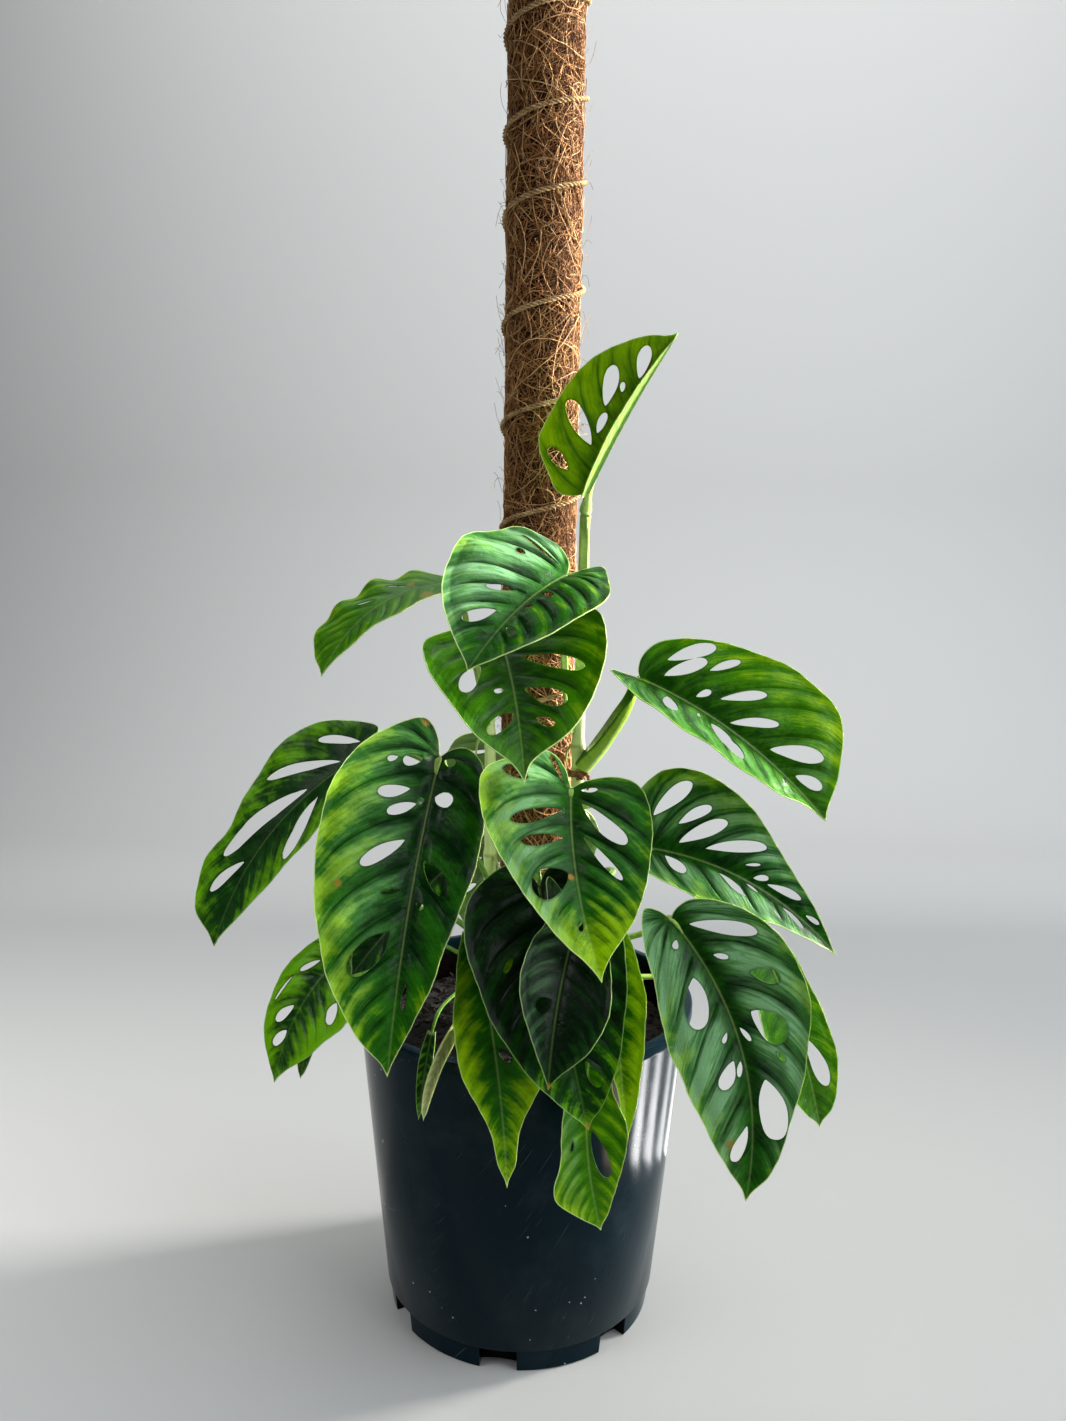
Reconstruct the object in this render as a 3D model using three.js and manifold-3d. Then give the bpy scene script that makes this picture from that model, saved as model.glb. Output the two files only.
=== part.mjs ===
// Potted swiss cheese vine: a climbing aroid on a coir pole in a black nursery pot.
// Millimetres, +Z up. The origin is the middle of the pot's underside and the
// side the plant is looked at from is -Y.
import * as THREE from "three";
import Module from "manifold-3d";

const wasm = await Module();
wasm.setup();

const TAU = 2 * Math.PI;
const LEFT = 1;
const RIGHT = -1;
const GAP = 0.3;

const vec = (x, y, z) => new THREE.Vector3(x, y, z);
const radians = (degrees) => (degrees * Math.PI) / 180;

// Pot, soil and pole sizes

const POT = {
  rimRadius: 100,
  mouthRadius: 94,
  baseRadius: 79.7,
  height: 190,
  wall: 2.4,
  lipDrop: 7,
  lipOverhang: 3,
  ledgeHeight: 14,
  ledgeStep: 1.2,
  floor: 5,
  padRadius: 40,
  footWidth: 8,
  channelDepth: 2.5,
  segments: 48,
};

const NOTCH = {
  count: 7,
  firstAngle: -98,
  width: 21,
  height: 13,
  intoFloor: 9,
};

const SOIL = {
  top: 166,
  bottom: 5.4,
  crown: 4,
  inset: 2.2,
  segments: 24,
};

const POLE = {
  x: 6,
  y: 0,
  radius: 19.5,
  coreRadius: 9,
  bottom: 20,
  top: 760,
  coreTop: 756,
  segments: 24,
};

const TWINE = {
  radius: 1.4,
  sideHeights: [272, 324, 376, 428, 480, 535, 587, 642, 683, 731],
  frontRise: 18,
  sides: 5,
  stepsPerHalf: 6,
  standOff: 1.1,
};

const TIE = {
  x: 29,
  y: -19,
  height: 326,
  ringRadius: 5.4,
  cordRadius: 1.2,
};

const LEAF = {
  thickness: 0.8,
  shares: [0, 0.15, 0.35, 0.55, 0.75, 0.9],
  spanSteps: [1, 1, 2, 2, 2, 2, 2, 1, 2],
  ribSteps: 7,
  ribSwell: 2,
  gridStep: 15,
  petioleSides: 6,
  petioleSteps: 7,
};

// Solids

/** A manifold solid from flat arrays of corner points and triangle corners. */
function solidFrom(positions, triangles) {
  const mesh = new wasm.Mesh({
    numProp: 3,
    vertProperties: new Float32Array(positions),
    triVerts: new Uint32Array(triangles),
  });
  mesh.merge();
  return new wasm.Manifold(mesh);
}

/** A manifold solid from a three.js geometry. */
function solidOf(geometry) {
  const plain = geometry.index ? geometry.toNonIndexed() : geometry;
  const positions = plain.getAttribute("position").array;
  const triangles = Array.from({ length: positions.length / 3 }, (_, i) => i);
  return solidFrom(positions, triangles);
}

/** A three.js geometry from a manifold solid. */
function geometryOf(solid) {
  const mesh = solid.getMesh();
  const positions = new Float32Array(mesh.numVert * 3);
  for (let i = 0; i < mesh.numVert; i++) {
    const start = i * mesh.numProp;
    positions.set(mesh.vertProperties.subarray(start, start + 3), i * 3);
  }
  const geometry = new THREE.BufferGeometry();
  geometry.setAttribute("position", new THREE.BufferAttribute(positions, 3));
  geometry.setIndex(new THREE.BufferAttribute(mesh.triVerts, 1));
  return geometry;
}

/** A solid turned from [radius, height] points listed up the outside and back down. */
function turned(profile, segments) {
  const points = profile.map(([radius, height]) => new THREE.Vector2(radius, height));
  const lathe = new THREE.LatheGeometry([...points, points[0]], segments);
  lathe.rotateX(Math.PI / 2);
  return solidOf(lathe);
}

/** A round bar along a smooth path, closed at both ends, with a radius per station. */
function bar(points, startRadius, endRadius, sides, steps) {
  const path = new THREE.CatmullRomCurve3(points, false, "centripetal");
  const frames = path.computeFrenetFrames(steps, false);
  const positions = [];
  for (let i = 0; i <= steps; i++) {
    const t = i / steps;
    const middle = path.getPointAt(t);
    const radius = startRadius + (endRadius - startRadius) * t;
    for (let k = 0; k < sides; k++) {
      const angle = (k * TAU) / sides;
      const corner = middle
        .clone()
        .addScaledVector(frames.normals[i], radius * Math.cos(angle))
        .addScaledVector(frames.binormals[i], radius * Math.sin(angle));
      positions.push(corner.x, corner.y, corner.z);
    }
  }
  const first = path.getPointAt(0);
  const last = path.getPointAt(1);
  positions.push(first.x, first.y, first.z, last.x, last.y, last.z);
  const firstMiddle = (steps + 1) * sides;
  const lastMiddle = firstMiddle + 1;
  const triangles = [];
  for (let k = 0; k < sides; k++) {
    const next = (k + 1) % sides;
    for (let i = 0; i < steps; i++) {
      const here = i * sides;
      const ahead = here + sides;
      triangles.push(here + k, here + next, ahead + next);
      triangles.push(here + k, ahead + next, ahead + k);
    }
    triangles.push(firstMiddle, next, k);
    triangles.push(lastMiddle, steps * sides + k, steps * sides + next);
  }
  return solidFrom(positions, triangles);
}

// Leaf surface

/** The middle line of a blade: a bend from joint to tip, straight behind the joint. */
function ribOf(leaf) {
  const joint = vec(...leaf.joint);
  const tip = vec(...leaf.tip);
  const along = tip.clone().sub(joint);
  const length = along.length();
  along.normalize();
  const face = vec(...leaf.face);
  const up = face.addScaledVector(along, -face.dot(along)).normalize();
  const side = along.clone().cross(up);
  const pull = joint
    .clone()
    .add(tip)
    .multiplyScalar(0.5)
    .addScaledVector(up, 2 * leaf.bow)
    .addScaledVector(side, 2 * leaf.sway);
  return { joint, tip, pull, up, length };
}

/** Place, direction, side and normal of the middle line at a share of its length. */
function ribAt(rib, share) {
  const t = Math.max(share, 0);
  const place = rib.joint
    .clone()
    .multiplyScalar((1 - t) * (1 - t))
    .addScaledVector(rib.pull, 2 * t * (1 - t))
    .addScaledVector(rib.tip, t * t);
  const direction = rib.pull
    .clone()
    .sub(rib.joint)
    .multiplyScalar(2 * (1 - t))
    .addScaledVector(rib.tip.clone().sub(rib.pull), 2 * t);
  if (share < 0) place.addScaledVector(direction, share);
  direction.normalize();
  const normal = rib.up.clone();
  normal.addScaledVector(direction, -normal.dot(direction)).normalize();
  const side = direction.clone().cross(normal);
  return { place, side, normal };
}

/** A point of the blade's middle surface from millimetres along and across it. */
function bladePoint(leaf, rib, along, across) {
  const share = along / rib.length;
  const half = across >= 0 ? leaf.left : leaf.right;
  const distance = Math.abs(across);
  const fold = radians(half.fold);
  const bend = radians(half.bend || 0.1) / half.width;
  const out = (Math.sin(fold + bend * distance) - Math.sin(fold)) / bend;
  const reach = Math.min(distance / half.width, 1);
  const wave = half.wave * Math.sin(TAU * half.waves * share);
  const rise = (Math.cos(fold) - Math.cos(fold + bend * distance)) / bend + wave * reach * reach;
  const at = ribAt(rib, share);
  return at.place
    .addScaledVector(at.side, Math.sign(across) * out)
    .addScaledVector(at.normal, rise);
}

/** A smooth closed-up line through points, with a few steps in each span. */
function smoothLine(corners, steps) {
  const points = corners.map(([along, across]) => vec(along, across, 0));
  const curve = new THREE.CatmullRomCurve3(points, false, "centripetal");
  const spans = corners.length - 1;
  const line = [];
  for (let i = 0; i < spans; i++) {
    for (let k = 0; k < steps[i]; k++) {
      const point = curve.getPoint((i + k / steps[i]) / spans);
      line.push(new THREE.Vector2(point.x, Math.max(point.y, 0)));
    }
  }
  return [...line, new THREE.Vector2(...corners[spans])];
}

/** One half of the outline, from the notch at the joint round the lobe to the tip. */
function halfOutline(half, length) {
  const [back, out] = half.lobe;
  const stations = half.widths.map((width, i) => [LEAF.shares[i] * length, width]);
  const corners = [[0, 0], [-0.6 * back, 0.3 * out], [-back, out], ...stations, [length, 0]];
  return smoothLine(corners, LEAF.spanSteps);
}

/** A hole along a side vein: rounder at its outer end than near the rib. */
function holeOutline(hole, length) {
  const [fromShare, inner, toShare, outer, width] = hole;
  const start = new THREE.Vector2(fromShare * length, inner);
  const end = new THREE.Vector2(toShare * length, outer);
  const axis = end.clone().sub(start);
  const reach = axis.length() / 2;
  axis.normalize();
  const middle = start.clone().add(end).multiplyScalar(0.5);
  const across = new THREE.Vector2(-axis.y, axis.x);
  const corners = reach > 6 ? 8 : 6;
  const points = [];
  for (let k = 0; k < corners; k++) {
    const angle = ((k + 0.5) * TAU) / corners;
    const along = reach * Math.cos(angle);
    const swell = (width / 2) * Math.sin(angle) * (1 + 0.3 * Math.cos(angle));
    points.push(middle.clone().addScaledVector(axis, along).addScaledVector(across, swell));
  }
  return points;
}

/** Whether a point lies inside a closed outline. */
function inside(point, outline) {
  let odd = false;
  for (let i = 0, j = outline.length - 1; i < outline.length; j = i++) {
    const a = outline[i];
    const b = outline[j];
    const crosses = a.y > point.y !== b.y > point.y;
    if (crosses && point.x < ((b.x - a.x) * (point.y - a.y)) / (b.y - a.y) + a.x) odd = !odd;
  }
  return odd;
}

/** The shortest distance from a point to the corners and sides of an outline. */
function clearance(point, outline) {
  let least = Infinity;
  const closest = new THREE.Vector2();
  for (let i = 0; i < outline.length; i++) {
    const a = outline[i];
    const b = outline[(i + 1) % outline.length];
    const side = b.clone().sub(a);
    const share = point.clone().sub(a).dot(side) / Math.max(side.lengthSq(), 1e-9);
    closest.copy(a).addScaledVector(side, Math.min(Math.max(share, 0), 1));
    least = Math.min(least, closest.distanceTo(point));
  }
  return least;
}

/** Turns shared sides of neighbouring triangles until each pair is well shaped. */
function evenOut(points, triangles) {
  const twice = (a, b, c) => (b.x - a.x) * (c.y - a.y) - (b.y - a.y) * (c.x - a.x);
  const angleAt = (p, a, b) => {
    const u = points[a].clone().sub(points[p]);
    const v = points[b].clone().sub(points[p]);
    return Math.acos(Math.min(Math.max(u.dot(v) / (u.length() * v.length()), -1), 1));
  };
  for (let pass = 0; pass < 40; pass++) {
    const owners = new Map();
    triangles.forEach((corners, index) => {
      for (let k = 0; k < 3; k++) {
        const pair = [corners[k], corners[(k + 1) % 3]].sort((x, y) => x - y).join();
        owners.set(pair, [...(owners.get(pair) || []), [index, k]]);
      }
    });
    const touched = new Set();
    let turns = 0;
    for (const pair of owners.values()) {
      if (pair.length !== 2) continue;
      const [[first, k], [second, m]] = pair;
      if (touched.has(first) || touched.has(second)) continue;
      const a = triangles[first][k];
      const b = triangles[first][(k + 1) % 3];
      const c = triangles[first][(k + 2) % 3];
      const d = triangles[second][(m + 2) % 3];
      if (angleAt(c, a, b) + angleAt(d, a, b) <= Math.PI + 1e-6) continue;
      if (twice(points[a], points[d], points[c]) <= 1e-6) continue;
      if (twice(points[d], points[b], points[c]) <= 1e-6) continue;
      triangles[first] = [a, d, c];
      triangles[second] = [d, b, c];
      touched.add(first).add(second);
      turns++;
    }
    if (!turns) break;
  }
  return triangles;
}

/** The flat net of a blade half: its points and triangles, all wound one way. */
function halfNet(leaf, rib, sign) {
  const half = sign > 0 ? leaf.left : leaf.right;
  const length = rib.length;
  const outline = halfOutline(half, length);
  const ribPoints = [];
  for (let i = LEAF.ribSteps - 1; i > 0; i--) {
    const share = i / LEAF.ribSteps;
    ribPoints.push(new THREE.Vector2(share * length, -LEAF.ribSwell * share * (1 - share)));
  }
  const border = [...outline, ...ribPoints];
  const holes = half.holes.map((hole) => holeOutline(hole, length));
  const step = LEAF.gridStep;
  const inner = [];
  for (let x = -half.lobe[0] + 0.5 * step; x < length; x += step) {
    for (let y = 0.6 * step; y < half.width; y += step) {
      const point = new THREE.Vector2(x + 1.3 * Math.sin(y + x), y + 1.7 * Math.sin(0.7 * x));
      const near = Math.min(clearance(point, border), ...holes.map((h) => clearance(point, h)));
      const open = inside(point, border) && !holes.some((h) => inside(point, h));
      if (open && near > 0.35 * step) inner.push([point]);
    }
  }
  const cuts = [...holes, ...inner];
  const triangles = THREE.ShapeUtils.triangulateShape(border, cuts);
  const points = [...border, ...cuts.flat()];
  const wound = triangles.map((corners) => {
    const [a, b, c] = corners;
    const first = points[b].clone().sub(points[a]);
    const second = points[c].clone().sub(points[a]);
    return first.cross(second) > 0 ? corners : [a, c, b];
  });
  evenOut(points, wound);
  return {
    points: points.map((p) => new THREE.Vector2(p.x, sign * Math.max(p.y, 0))),
    triangles: sign > 0 ? wound : wound.map(([a, b, c]) => [a, c, b]),
  };
}

/** The blade: the same net on its upper and its lower face, joined round each edge. */
function bladeSolid(leaf, rib) {
  const keys = new Map();
  const flat = [];
  const triangles = [];
  for (const sign of [LEFT, RIGHT]) {
    const net = halfNet(leaf, rib, sign);
    const index = net.points.map((point) => {
      const key = [point.x, point.y].map((value) => Math.round(value * 1000) + 0).join();
      if (!keys.has(key)) {
        keys.set(key, flat.length);
        flat.push(point);
      }
      return keys.get(key);
    });
    triangles.push(...net.triangles.map((corners) => corners.map((corner) => index[corner])));
  }
  const middle = flat.map((point) => bladePoint(leaf, rib, point.x, point.y));
  const normals = middle.map(() => vec(0, 0, 0));
  for (const [a, b, c] of triangles) {
    const normal = middle[b].clone().sub(middle[a]).cross(middle[c].clone().sub(middle[a]));
    for (const corner of [a, b, c]) normals[corner].add(normal);
  }
  const positions = [];
  for (const side of [0.5, -0.5]) {
    middle.forEach((point, i) => {
      const moved = point
        .clone()
        .addScaledVector(normals[i].clone().normalize(), side * LEAF.thickness);
      positions.push(moved.x, moved.y, moved.z);
    });
  }
  const count = middle.length;
  const faces = [];
  const edges = new Map();
  for (const [a, b, c] of triangles) {
    faces.push(a, b, c, count + a, count + c, count + b);
    for (const [from, to] of [[a, b], [b, c], [c, a]]) edges.set(from + "," + to, [from, to]);
  }
  for (const [from, to] of edges.values()) {
    if (edges.has(to + "," + from)) continue;
    faces.push(to, from, count + from, to, count + from, count + to);
  }
  return solidFrom(positions, faces);
}

/** A whole leaf: its stalk runs on under the start of the rib. */
function leafSolid(leaf) {
  const rib = ribOf(leaf);
  const blade = bladeSolid(leaf, rib);
  const under = [0, 0.1].map((share) => {
    const at = ribAt(rib, share);
    return at.place.addScaledVector(at.normal, 2 * share - 0.5 * leaf.stalkRadius);
  });
  const path = [...leaf.stalk.map((point) => vec(...point)), ...under];
  const thick = leaf.stalkRadius;
  const stalk = bar(path, thick, 0.55 * thick, LEAF.petioleSides, LEAF.petioleSteps);
  return blade.add(stalk);
}

/**
 * One half of a blade. A lobe is [back, out]; widths stand at the set shares of the
 * length; fold and bend are degrees; a hole is [share, across, share, across, width],
 * from its end near the rib to its outer end. All other sizes are millimetres.
 */
function half(shape, holes = []) {
  const plain = { fold: 0, bend: 0, wave: 0, waves: 2 };
  return { ...plain, ...shape, width: Math.max(...shape.widths), holes };
}

// Leaves: a joint, a tip, the way the upper face looks, the blade halves and a stalk

const LEAVES = [
  {
    name: "leaf_top",
    joint: [30, -30, 480],
    tip: [72, -58, 557],
    face: [-0.5, -0.9, -0.1],
    bow: -3,
    sway: -3,
    left: half({ lobe: [3, 4], widths: [5, 8, 10, 9, 6, 3], fold: 90 }),
    right: half({ lobe: [6, 14], widths: [22, 35, 35, 33, 24, 12], fold: 20 }, [
      [0.07, 14, 0.13, 28, 6],
      [0.25, 9, 0.4, 30, 8],
      [0.32, 9, 0.44, 10, 4],
      [0.47, 12, 0.68, 18, 7],
      [0.58, 8, 0.63, 10, 2.5],
      [0.69, 4, 0.86, 9, 6],
    ]),
    stalkRadius: 3.3,
    stalk: [[29, -19, 372.6], [30, -18, 400], [30, -18, 440], [30, -24, 466]],
  },
  {
    name: "leaf_upper",
    joint: [21, -42, 438],
    tip: [-28, -103, 394],
    face: [-0.1, -0.75, 0.6],
    bow: 6,
    sway: 2,
    left: half({ lobe: [12, 18], widths: [35, 40, 47, 42, 30, 12], fold: 15, bend: 10 }, [
      [0, 7, 0.06, 31, 2],
      [0.15, 21, 0.17, 26, 4],
      [0.4, 8, 0.51, 20, 4.5],
      [0.6, 7, 0.77, 17, 6],
      [0.75, 3, 0.79, 7, 2],
    ]),
    right: half({ lobe: [20, 7], widths: [26, 33, 33, 28, 19, 8], fold: 12 }, [
      [0.29, 2, 0.32, 11, 4.5],
      [0.46, 1.5, 0.46, 7, 3],
      [0.65, 3, 0.72, 12, 4.5],
    ]),
    stalkRadius: 2.4,
    stalk: [[25, -22, 350], [21, -25, 380], [20, -26, 410], [21, -32, 430]],
  },
  {
    name: "leaf_middle",
    joint: [-15, -36, 405],
    tip: [0, -104, 340],
    face: [0, -0.72, 0.69],
    bow: 6,
    sway: -2,
    left: half({ lobe: [6, 14], widths: [26, 44, 45, 36, 24, 6], fold: 15, bend: 10 }, [
      [0.29, 16, 0.49, 28, 8],
      [0.45, 5, 0.48, 11, 3],
      [0.6, 2, 0.74, 17, 7],
    ]),
    right: half({ lobe: [7, 26], widths: [44, 54, 52, 43, 28, 4], fold: 12, bend: 10 }, [
      [0.24, 8, 0.44, 38, 8],
      [0.47, 6, 0.61, 26, 9],
      [0.66, 9, 0.72, 18, 4.5],
    ]),
    stalkRadius: 2.3,
    stalk: [[-22, -14, 352], [-24, -20, 380], [-20, -28, 400]],
  },
  {
    name: "leaf_left_upper",
    joint: [-46, -20, 431],
    tip: [-107, -55, 384],
    face: [-0.4, -0.42, 0.8],
    bow: 12,
    sway: 2,
    left: half({ lobe: [6, 12], widths: [24, 27, 28, 28, 26, 16], wave: 2, waves: 4 }, [
      [0.2, 6, 0.3, 14, 2],
      [0.42, 6, 0.52, 14, 2],
    ]),
    right: half({ lobe: [4, 8], widths: [17, 21, 21, 19, 13, 5], wave: 1 }),
    stalkRadius: 2.2,
    stalk: [[-24, -12, 366], [-32, -12, 400], [-38, -14, 424]],
  },
  {
    name: "leaf_right_upper",
    joint: [61, -30, 382],
    tip: [158, -62, 312],
    face: [-0.1, -0.7, 0.7],
    bow: 5,
    sway: -6,
    left: half({ lobe: [15, 5], widths: [21, 33, 37, 36, 27, 7], fold: 40 }, [
      [0.15, 9, 0.21, 24, 8],
      [0.3, 7, 0.31, 13, 2],
      [0.37, 9, 0.56, 24, 12],
      [0.75, 4, 0.76, 11, 2],
    ]),
    right: half({ lobe: [4, 12], widths: [23, 36, 45, 50, 45, 21], fold: 10 }, [
      [0.07, 16, 0.21, 36, 7],
      [0.09, 7, 0.21, 26, 7],
      [0.24, 22, 0.32, 36, 4],
      [0.34, 11, 0.48, 28, 5],
      [0.25, 5, 0.29, 12, 3.5],
      [0.43, 3, 0.59, 19, 5],
      [0.63, 5, 0.81, 22, 8],
      [0.78, 4, 0.89, 10, 6],
    ]),
    stalkRadius: 3.2,
    stalk: [[31, -22, 332], [40, -27, 344], [55, -31, 369]],
  },
  {
    name: "leaf_right_middle",
    joint: [68, -48, 292],
    tip: [165, -72, 242],
    face: [-0.1, -0.75, 0.65],
    bow: 6,
    sway: -9,
    left: half({ lobe: [8, 10], widths: [16, 23, 25, 21, 12, 5], fold: 20 }, [
      [0.07, 3, 0.18, 13, 6],
      [0.33, 4, 0.48, 11, 5],
      [0.47, 1.5, 0.54, 3.5, 2.5],
      [0.67, 2, 0.81, 4, 4],
    ]),
    right: half({ lobe: [11, 28], widths: [44, 47, 38, 22, 11, 4], fold: 10 }, [
      [-0.01, 18, 0.11, 40, 7],
      [0.1, 16, 0.21, 30, 5],
      [0.12, 6, 0.29, 25, 7],
      [0.24, 7, 0.48, 21, 6],
      [0.43, 7, 0.49, 11, 1.5],
      [0.49, 3, 0.55, 7, 3],
      [0.56, 4, 0.72, 8, 4],
      [0.78, 3, 0.85, 4.5, 2.5],
    ]),
    stalkRadius: 2.4,
    stalk: [[31, -20, 308], [44, -32, 312], [58, -44, 302]],
  },
  {
    name: "leaf_right_lower",
    joint: [76, -80, 264],
    tip: [113, -120, 131],
    face: [0, -0.95, 0.3],
    bow: 6,
    sway: -17,
    left: half({ lobe: [11, 8], widths: [19, 28, 36, 34, 25, 12], fold: 12 }, [
      [0.065, 5, 0.085, 9, 3],
      [0.2, 9, 0.37, 19, 12],
      [0.42, 5, 0.45, 9, 2.5],
      [0.52, 6, 0.61, 15, 7],
      [0.53, 2, 0.58, 5, 3.5],
      [0.75, 3, 0.87, 10, 7],
    ]),
    right: half({ lobe: [2, 8], widths: [16, 37, 42, 31, 18, 10], fold: 15 }, [
      [0.05, 6, 0.18, 32, 6],
      [0.17, 7, 0.2, 13, 2.5],
      [0.27, 19, 0.32, 31, 6],
      [0.38, 11, 0.49, 23, 12],
      [0.42, 2.5, 0.47, 6, 2.5],
      [0.52, 17, 0.55, 20, 2],
      [0.6, 8.5, 0.79, 12, 13],
    ]),
    stalkRadius: 2.5,
    stalk: [[30, -23, 216], [48, -46, 238], [64, -68, 252]],
  },
  {
    name: "leaf_front",
    joint: [24, -66, 329],
    tip: [38, -131, 250],
    face: [0, -0.8, 0.7],
    bow: 6,
    sway: 5,
    left: half({ lobe: [20, 14], widths: [46, 48, 41, 29, 17, 5], fold: 15 }, [
      [-0.03, 5, -0.17, 12, 3],
      [0.02, 24, -0.03, 37, 8],
      [0.15, 5, 0.24, 32, 6],
      [0.3, 5, 0.34, 27, 5.5],
      [0.48, 4, 0.56, 23, 13],
      [0.71, 2, 0.76, 3.5, 3],
    ]),
    right: half({ lobe: [5, 22], widths: [33, 40, 40, 35, 25, 8], fold: 12 }, [
      [0.02, 5, 0.03, 14, 3.5],
      [0.11, 6, 0.38, 27, 8],
      [0.3, 6, 0.56, 22, 4],
    ]),
    stalkRadius: 2.4,
    stalk: [[29, -21, 276], [29, -34, 300], [27, -52, 318]],
  },
  {
    name: "leaf_left_front",
    joint: [-45, -54, 342],
    tip: [-65, -122, 196],
    face: [0.1, -0.9, 0.4],
    bow: 10,
    sway: 3,
    left: half({ lobe: [18, 13], widths: [36, 50, 52, 46, 33, 15], fold: 15 }, [
      [0.03, 9, 0.06, 19, 5.5],
      [0.05, 22, 0.07, 27, 3],
      [0.14, 12, 0.18, 28, 6],
      [0.18, 7, 0.23, 21, 5],
      [0.3, 9, 0.4, 29, 6.5],
      [0.45, 6, 0.47, 16, 2.5],
      [0.58, 8, 0.71, 25, 12],
    ]),
    right: half({ lobe: [6, 13], widths: [22, 30, 31, 24, 16, 6], fold: 18 }, [
      [0.01, 3, 0.03, 10, 5],
      [0.14, 2.5, 0.16, 13, 8],
      [0.35, 4, 0.45, 19, 8],
      [0.48, 4, 0.5, 8, 3],
      [0.72, 5, 0.8, 4, 3],
    ]),
    stalkRadius: 2.5,
    stalk: [[-22, -14, 302], [-30, -28, 314], [-40, -44, 328]],
  },
  {
    name: "leaf_left_back",
    joint: [-102, -6, 327],
    tip: [-178, -20, 222],
    face: [-0.6, -0.7, 0.5],
    bow: 8,
    sway: 9,
    left: half({ lobe: [24, 9], widths: [35, 43, 38, 30, 33, 25], fold: 5 }, [
      [-0.09, 8, 0.06, 27, 5],
      [0.02, 4, 0.32, 31, 6],
      [0.2, 3, 0.66, 21, 10],
      [0.62, 4, 0.81, 18, 6],
    ]),
    right: half({ lobe: [10, 12], widths: [20, 26, 30, 28, 20, 8], fold: 5 }, [
      [0.17, 8, 0.46, 26, 9],
    ]),
    stalkRadius: 2.2,
    stalk: [[-22, -8, 300], [-50, -8, 326], [-80, -6, 336]],
  },
  {
    name: "leaf_left_low",
    joint: [-100, -20, 222],
    tip: [-141, -38, 148],
    face: [-0.4, -0.8, 0.5],
    bow: 5,
    sway: 6,
    left: half({ lobe: [8, 8], widths: [14, 19, 22, 20, 14, 5], fold: 5 }, [
      [0.18, 7, 0.31, 13, 3],
      [0.36, 15, 0.54, 17, 1.5],
      [0.5, 4, 0.64, 10, 5],
      [0.66, 1.5, 0.78, 6, 5],
    ]),
    right: half({ lobe: [8, 12], widths: [26, 32, 33, 28, 19, 7], fold: 5 }, [
      [0.29, 20, 0.45, 23, 7],
    ]),
    stalkRadius: 2,
    stalk: [[-20, -12, 222], [-50, -16, 244], [-82, -18, 240]],
  },
  {
    name: "leaf_rim_small",
    joint: [34, -106, 198],
    tip: [41, -124, 117],
    face: [0, -1, 0.2],
    bow: 3,
    sway: 4,
    left: half({ lobe: [5, 6], widths: [8, 11, 12, 14, 19, 8], fold: 8 }, [
      [0.45, 7, 0.51, 8, 1.5],
    ]),
    right: half({ lobe: [5, 6], widths: [10, 13, 20, 19, 12, 6], fold: 8 }, [
      [0.4, 3, 0.68, 9, 7],
    ]),
    stalkRadius: 1.7,
    stalk: [[4, -29, 208], [20, -64, 220], [32, -96, 211]],
  },
  {
    name: "leaf_rim_drooping",
    joint: [-24, -92, 255],
    tip: [-6, -124, 139],
    face: [0, -0.98, 0.3],
    bow: 5,
    sway: -3,
    left: half({ lobe: [6, 5], widths: [8, 14, 19, 17, 7, 4], fold: 10 }),
    right: half({ lobe: [6, 8], widths: [14, 22, 26, 24, 9, 5], fold: 10 }, [
      [0.44, 2, 0.49, 8, 5],
    ]),
    stalkRadius: 2,
    stalk: [[4, -28, 228], [-4, -46, 250], [-17, -77, 262]],
  },
  {
    name: "leaf_front_low",
    joint: [8, -86, 283],
    tip: [33, -134, 176],
    face: [0, -0.9, 0.5],
    bow: 6,
    sway: 1,
    left: half({ lobe: [12, 14], widths: [34, 42, 40, 34, 22, 9], fold: 12 }, [
      [0.28, 20, 0.34, 26, 3],
    ]),
    right: half({ lobe: [10, 14], widths: [28, 35, 36, 31, 22, 11], fold: 12 }, [
      [0.73, 6, 0.84, 10, 5],
    ]),
    stalkRadius: 2.2,
    stalk: [[4, -32, 254], [6, -52, 280], [7, -74, 290]],
  },
  {
    name: "leaf_front_lowest",
    joint: [25, -107, 266],
    tip: [13, -146, 203],
    face: [0, -0.85, 0.5],
    bow: 4,
    sway: 2,
    left: half({ lobe: [22, 20], widths: [15, 19, 21, 17, 9, 3], fold: 15 }, [
      [0.46, 3, 0.54, 10, 7],
    ]),
    right: half({ lobe: [8, 10], widths: [14, 21, 25, 25, 18, 6], fold: 15 }),
    stalkRadius: 1.9,
    stalk: [[29, -22, 256], [42, -46, 278], [46, -74, 287], [40, -97, 289], [31, -109, 278]],
  },
  {
    name: "leaf_right_narrow",
    joint: [48, -78, 258],
    tip: [54, -115, 160],
    face: [0, -1, 0.3],
    bow: 3,
    sway: 2,
    left: half({ lobe: [4, 6], widths: [9, 13, 14, 10, 3, 1.5], fold: 12 }),
    right: half({ lobe: [4, 4], widths: [5, 11, 15, 13, 9, 4], fold: 12 }),
    stalkRadius: 1.9,
    stalk: [[29, -21, 226], [40, -42, 254], [47, -66, 264]],
  },
  {
    name: "leaf_right_behind",
    joint: [141, -20, 218],
    tip: [171, -38, 125],
    face: [0.2, -0.9, 0.3],
    bow: 4,
    sway: -2,
    left: half({ lobe: [6, 10], widths: [14, 18, 20, 19, 15, 7], fold: 8 }),
    right: half({ lobe: [6, 8], widths: [14, 16, 18, 19, 16, 9], fold: 8 }, [
      [0.48, 4, 0.77, 9, 8],
    ]),
    stalkRadius: 2,
    stalk: [[31, -15, 214], [66, -12, 204], [108, -14, 210]],
  },
  {
    name: "leaf_left_tiny",
    joint: [-124, -10, 186],
    tip: [-131, -16, 139],
    face: [-0.3, -0.9, 0.3],
    bow: 2,
    sway: -2,
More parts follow.
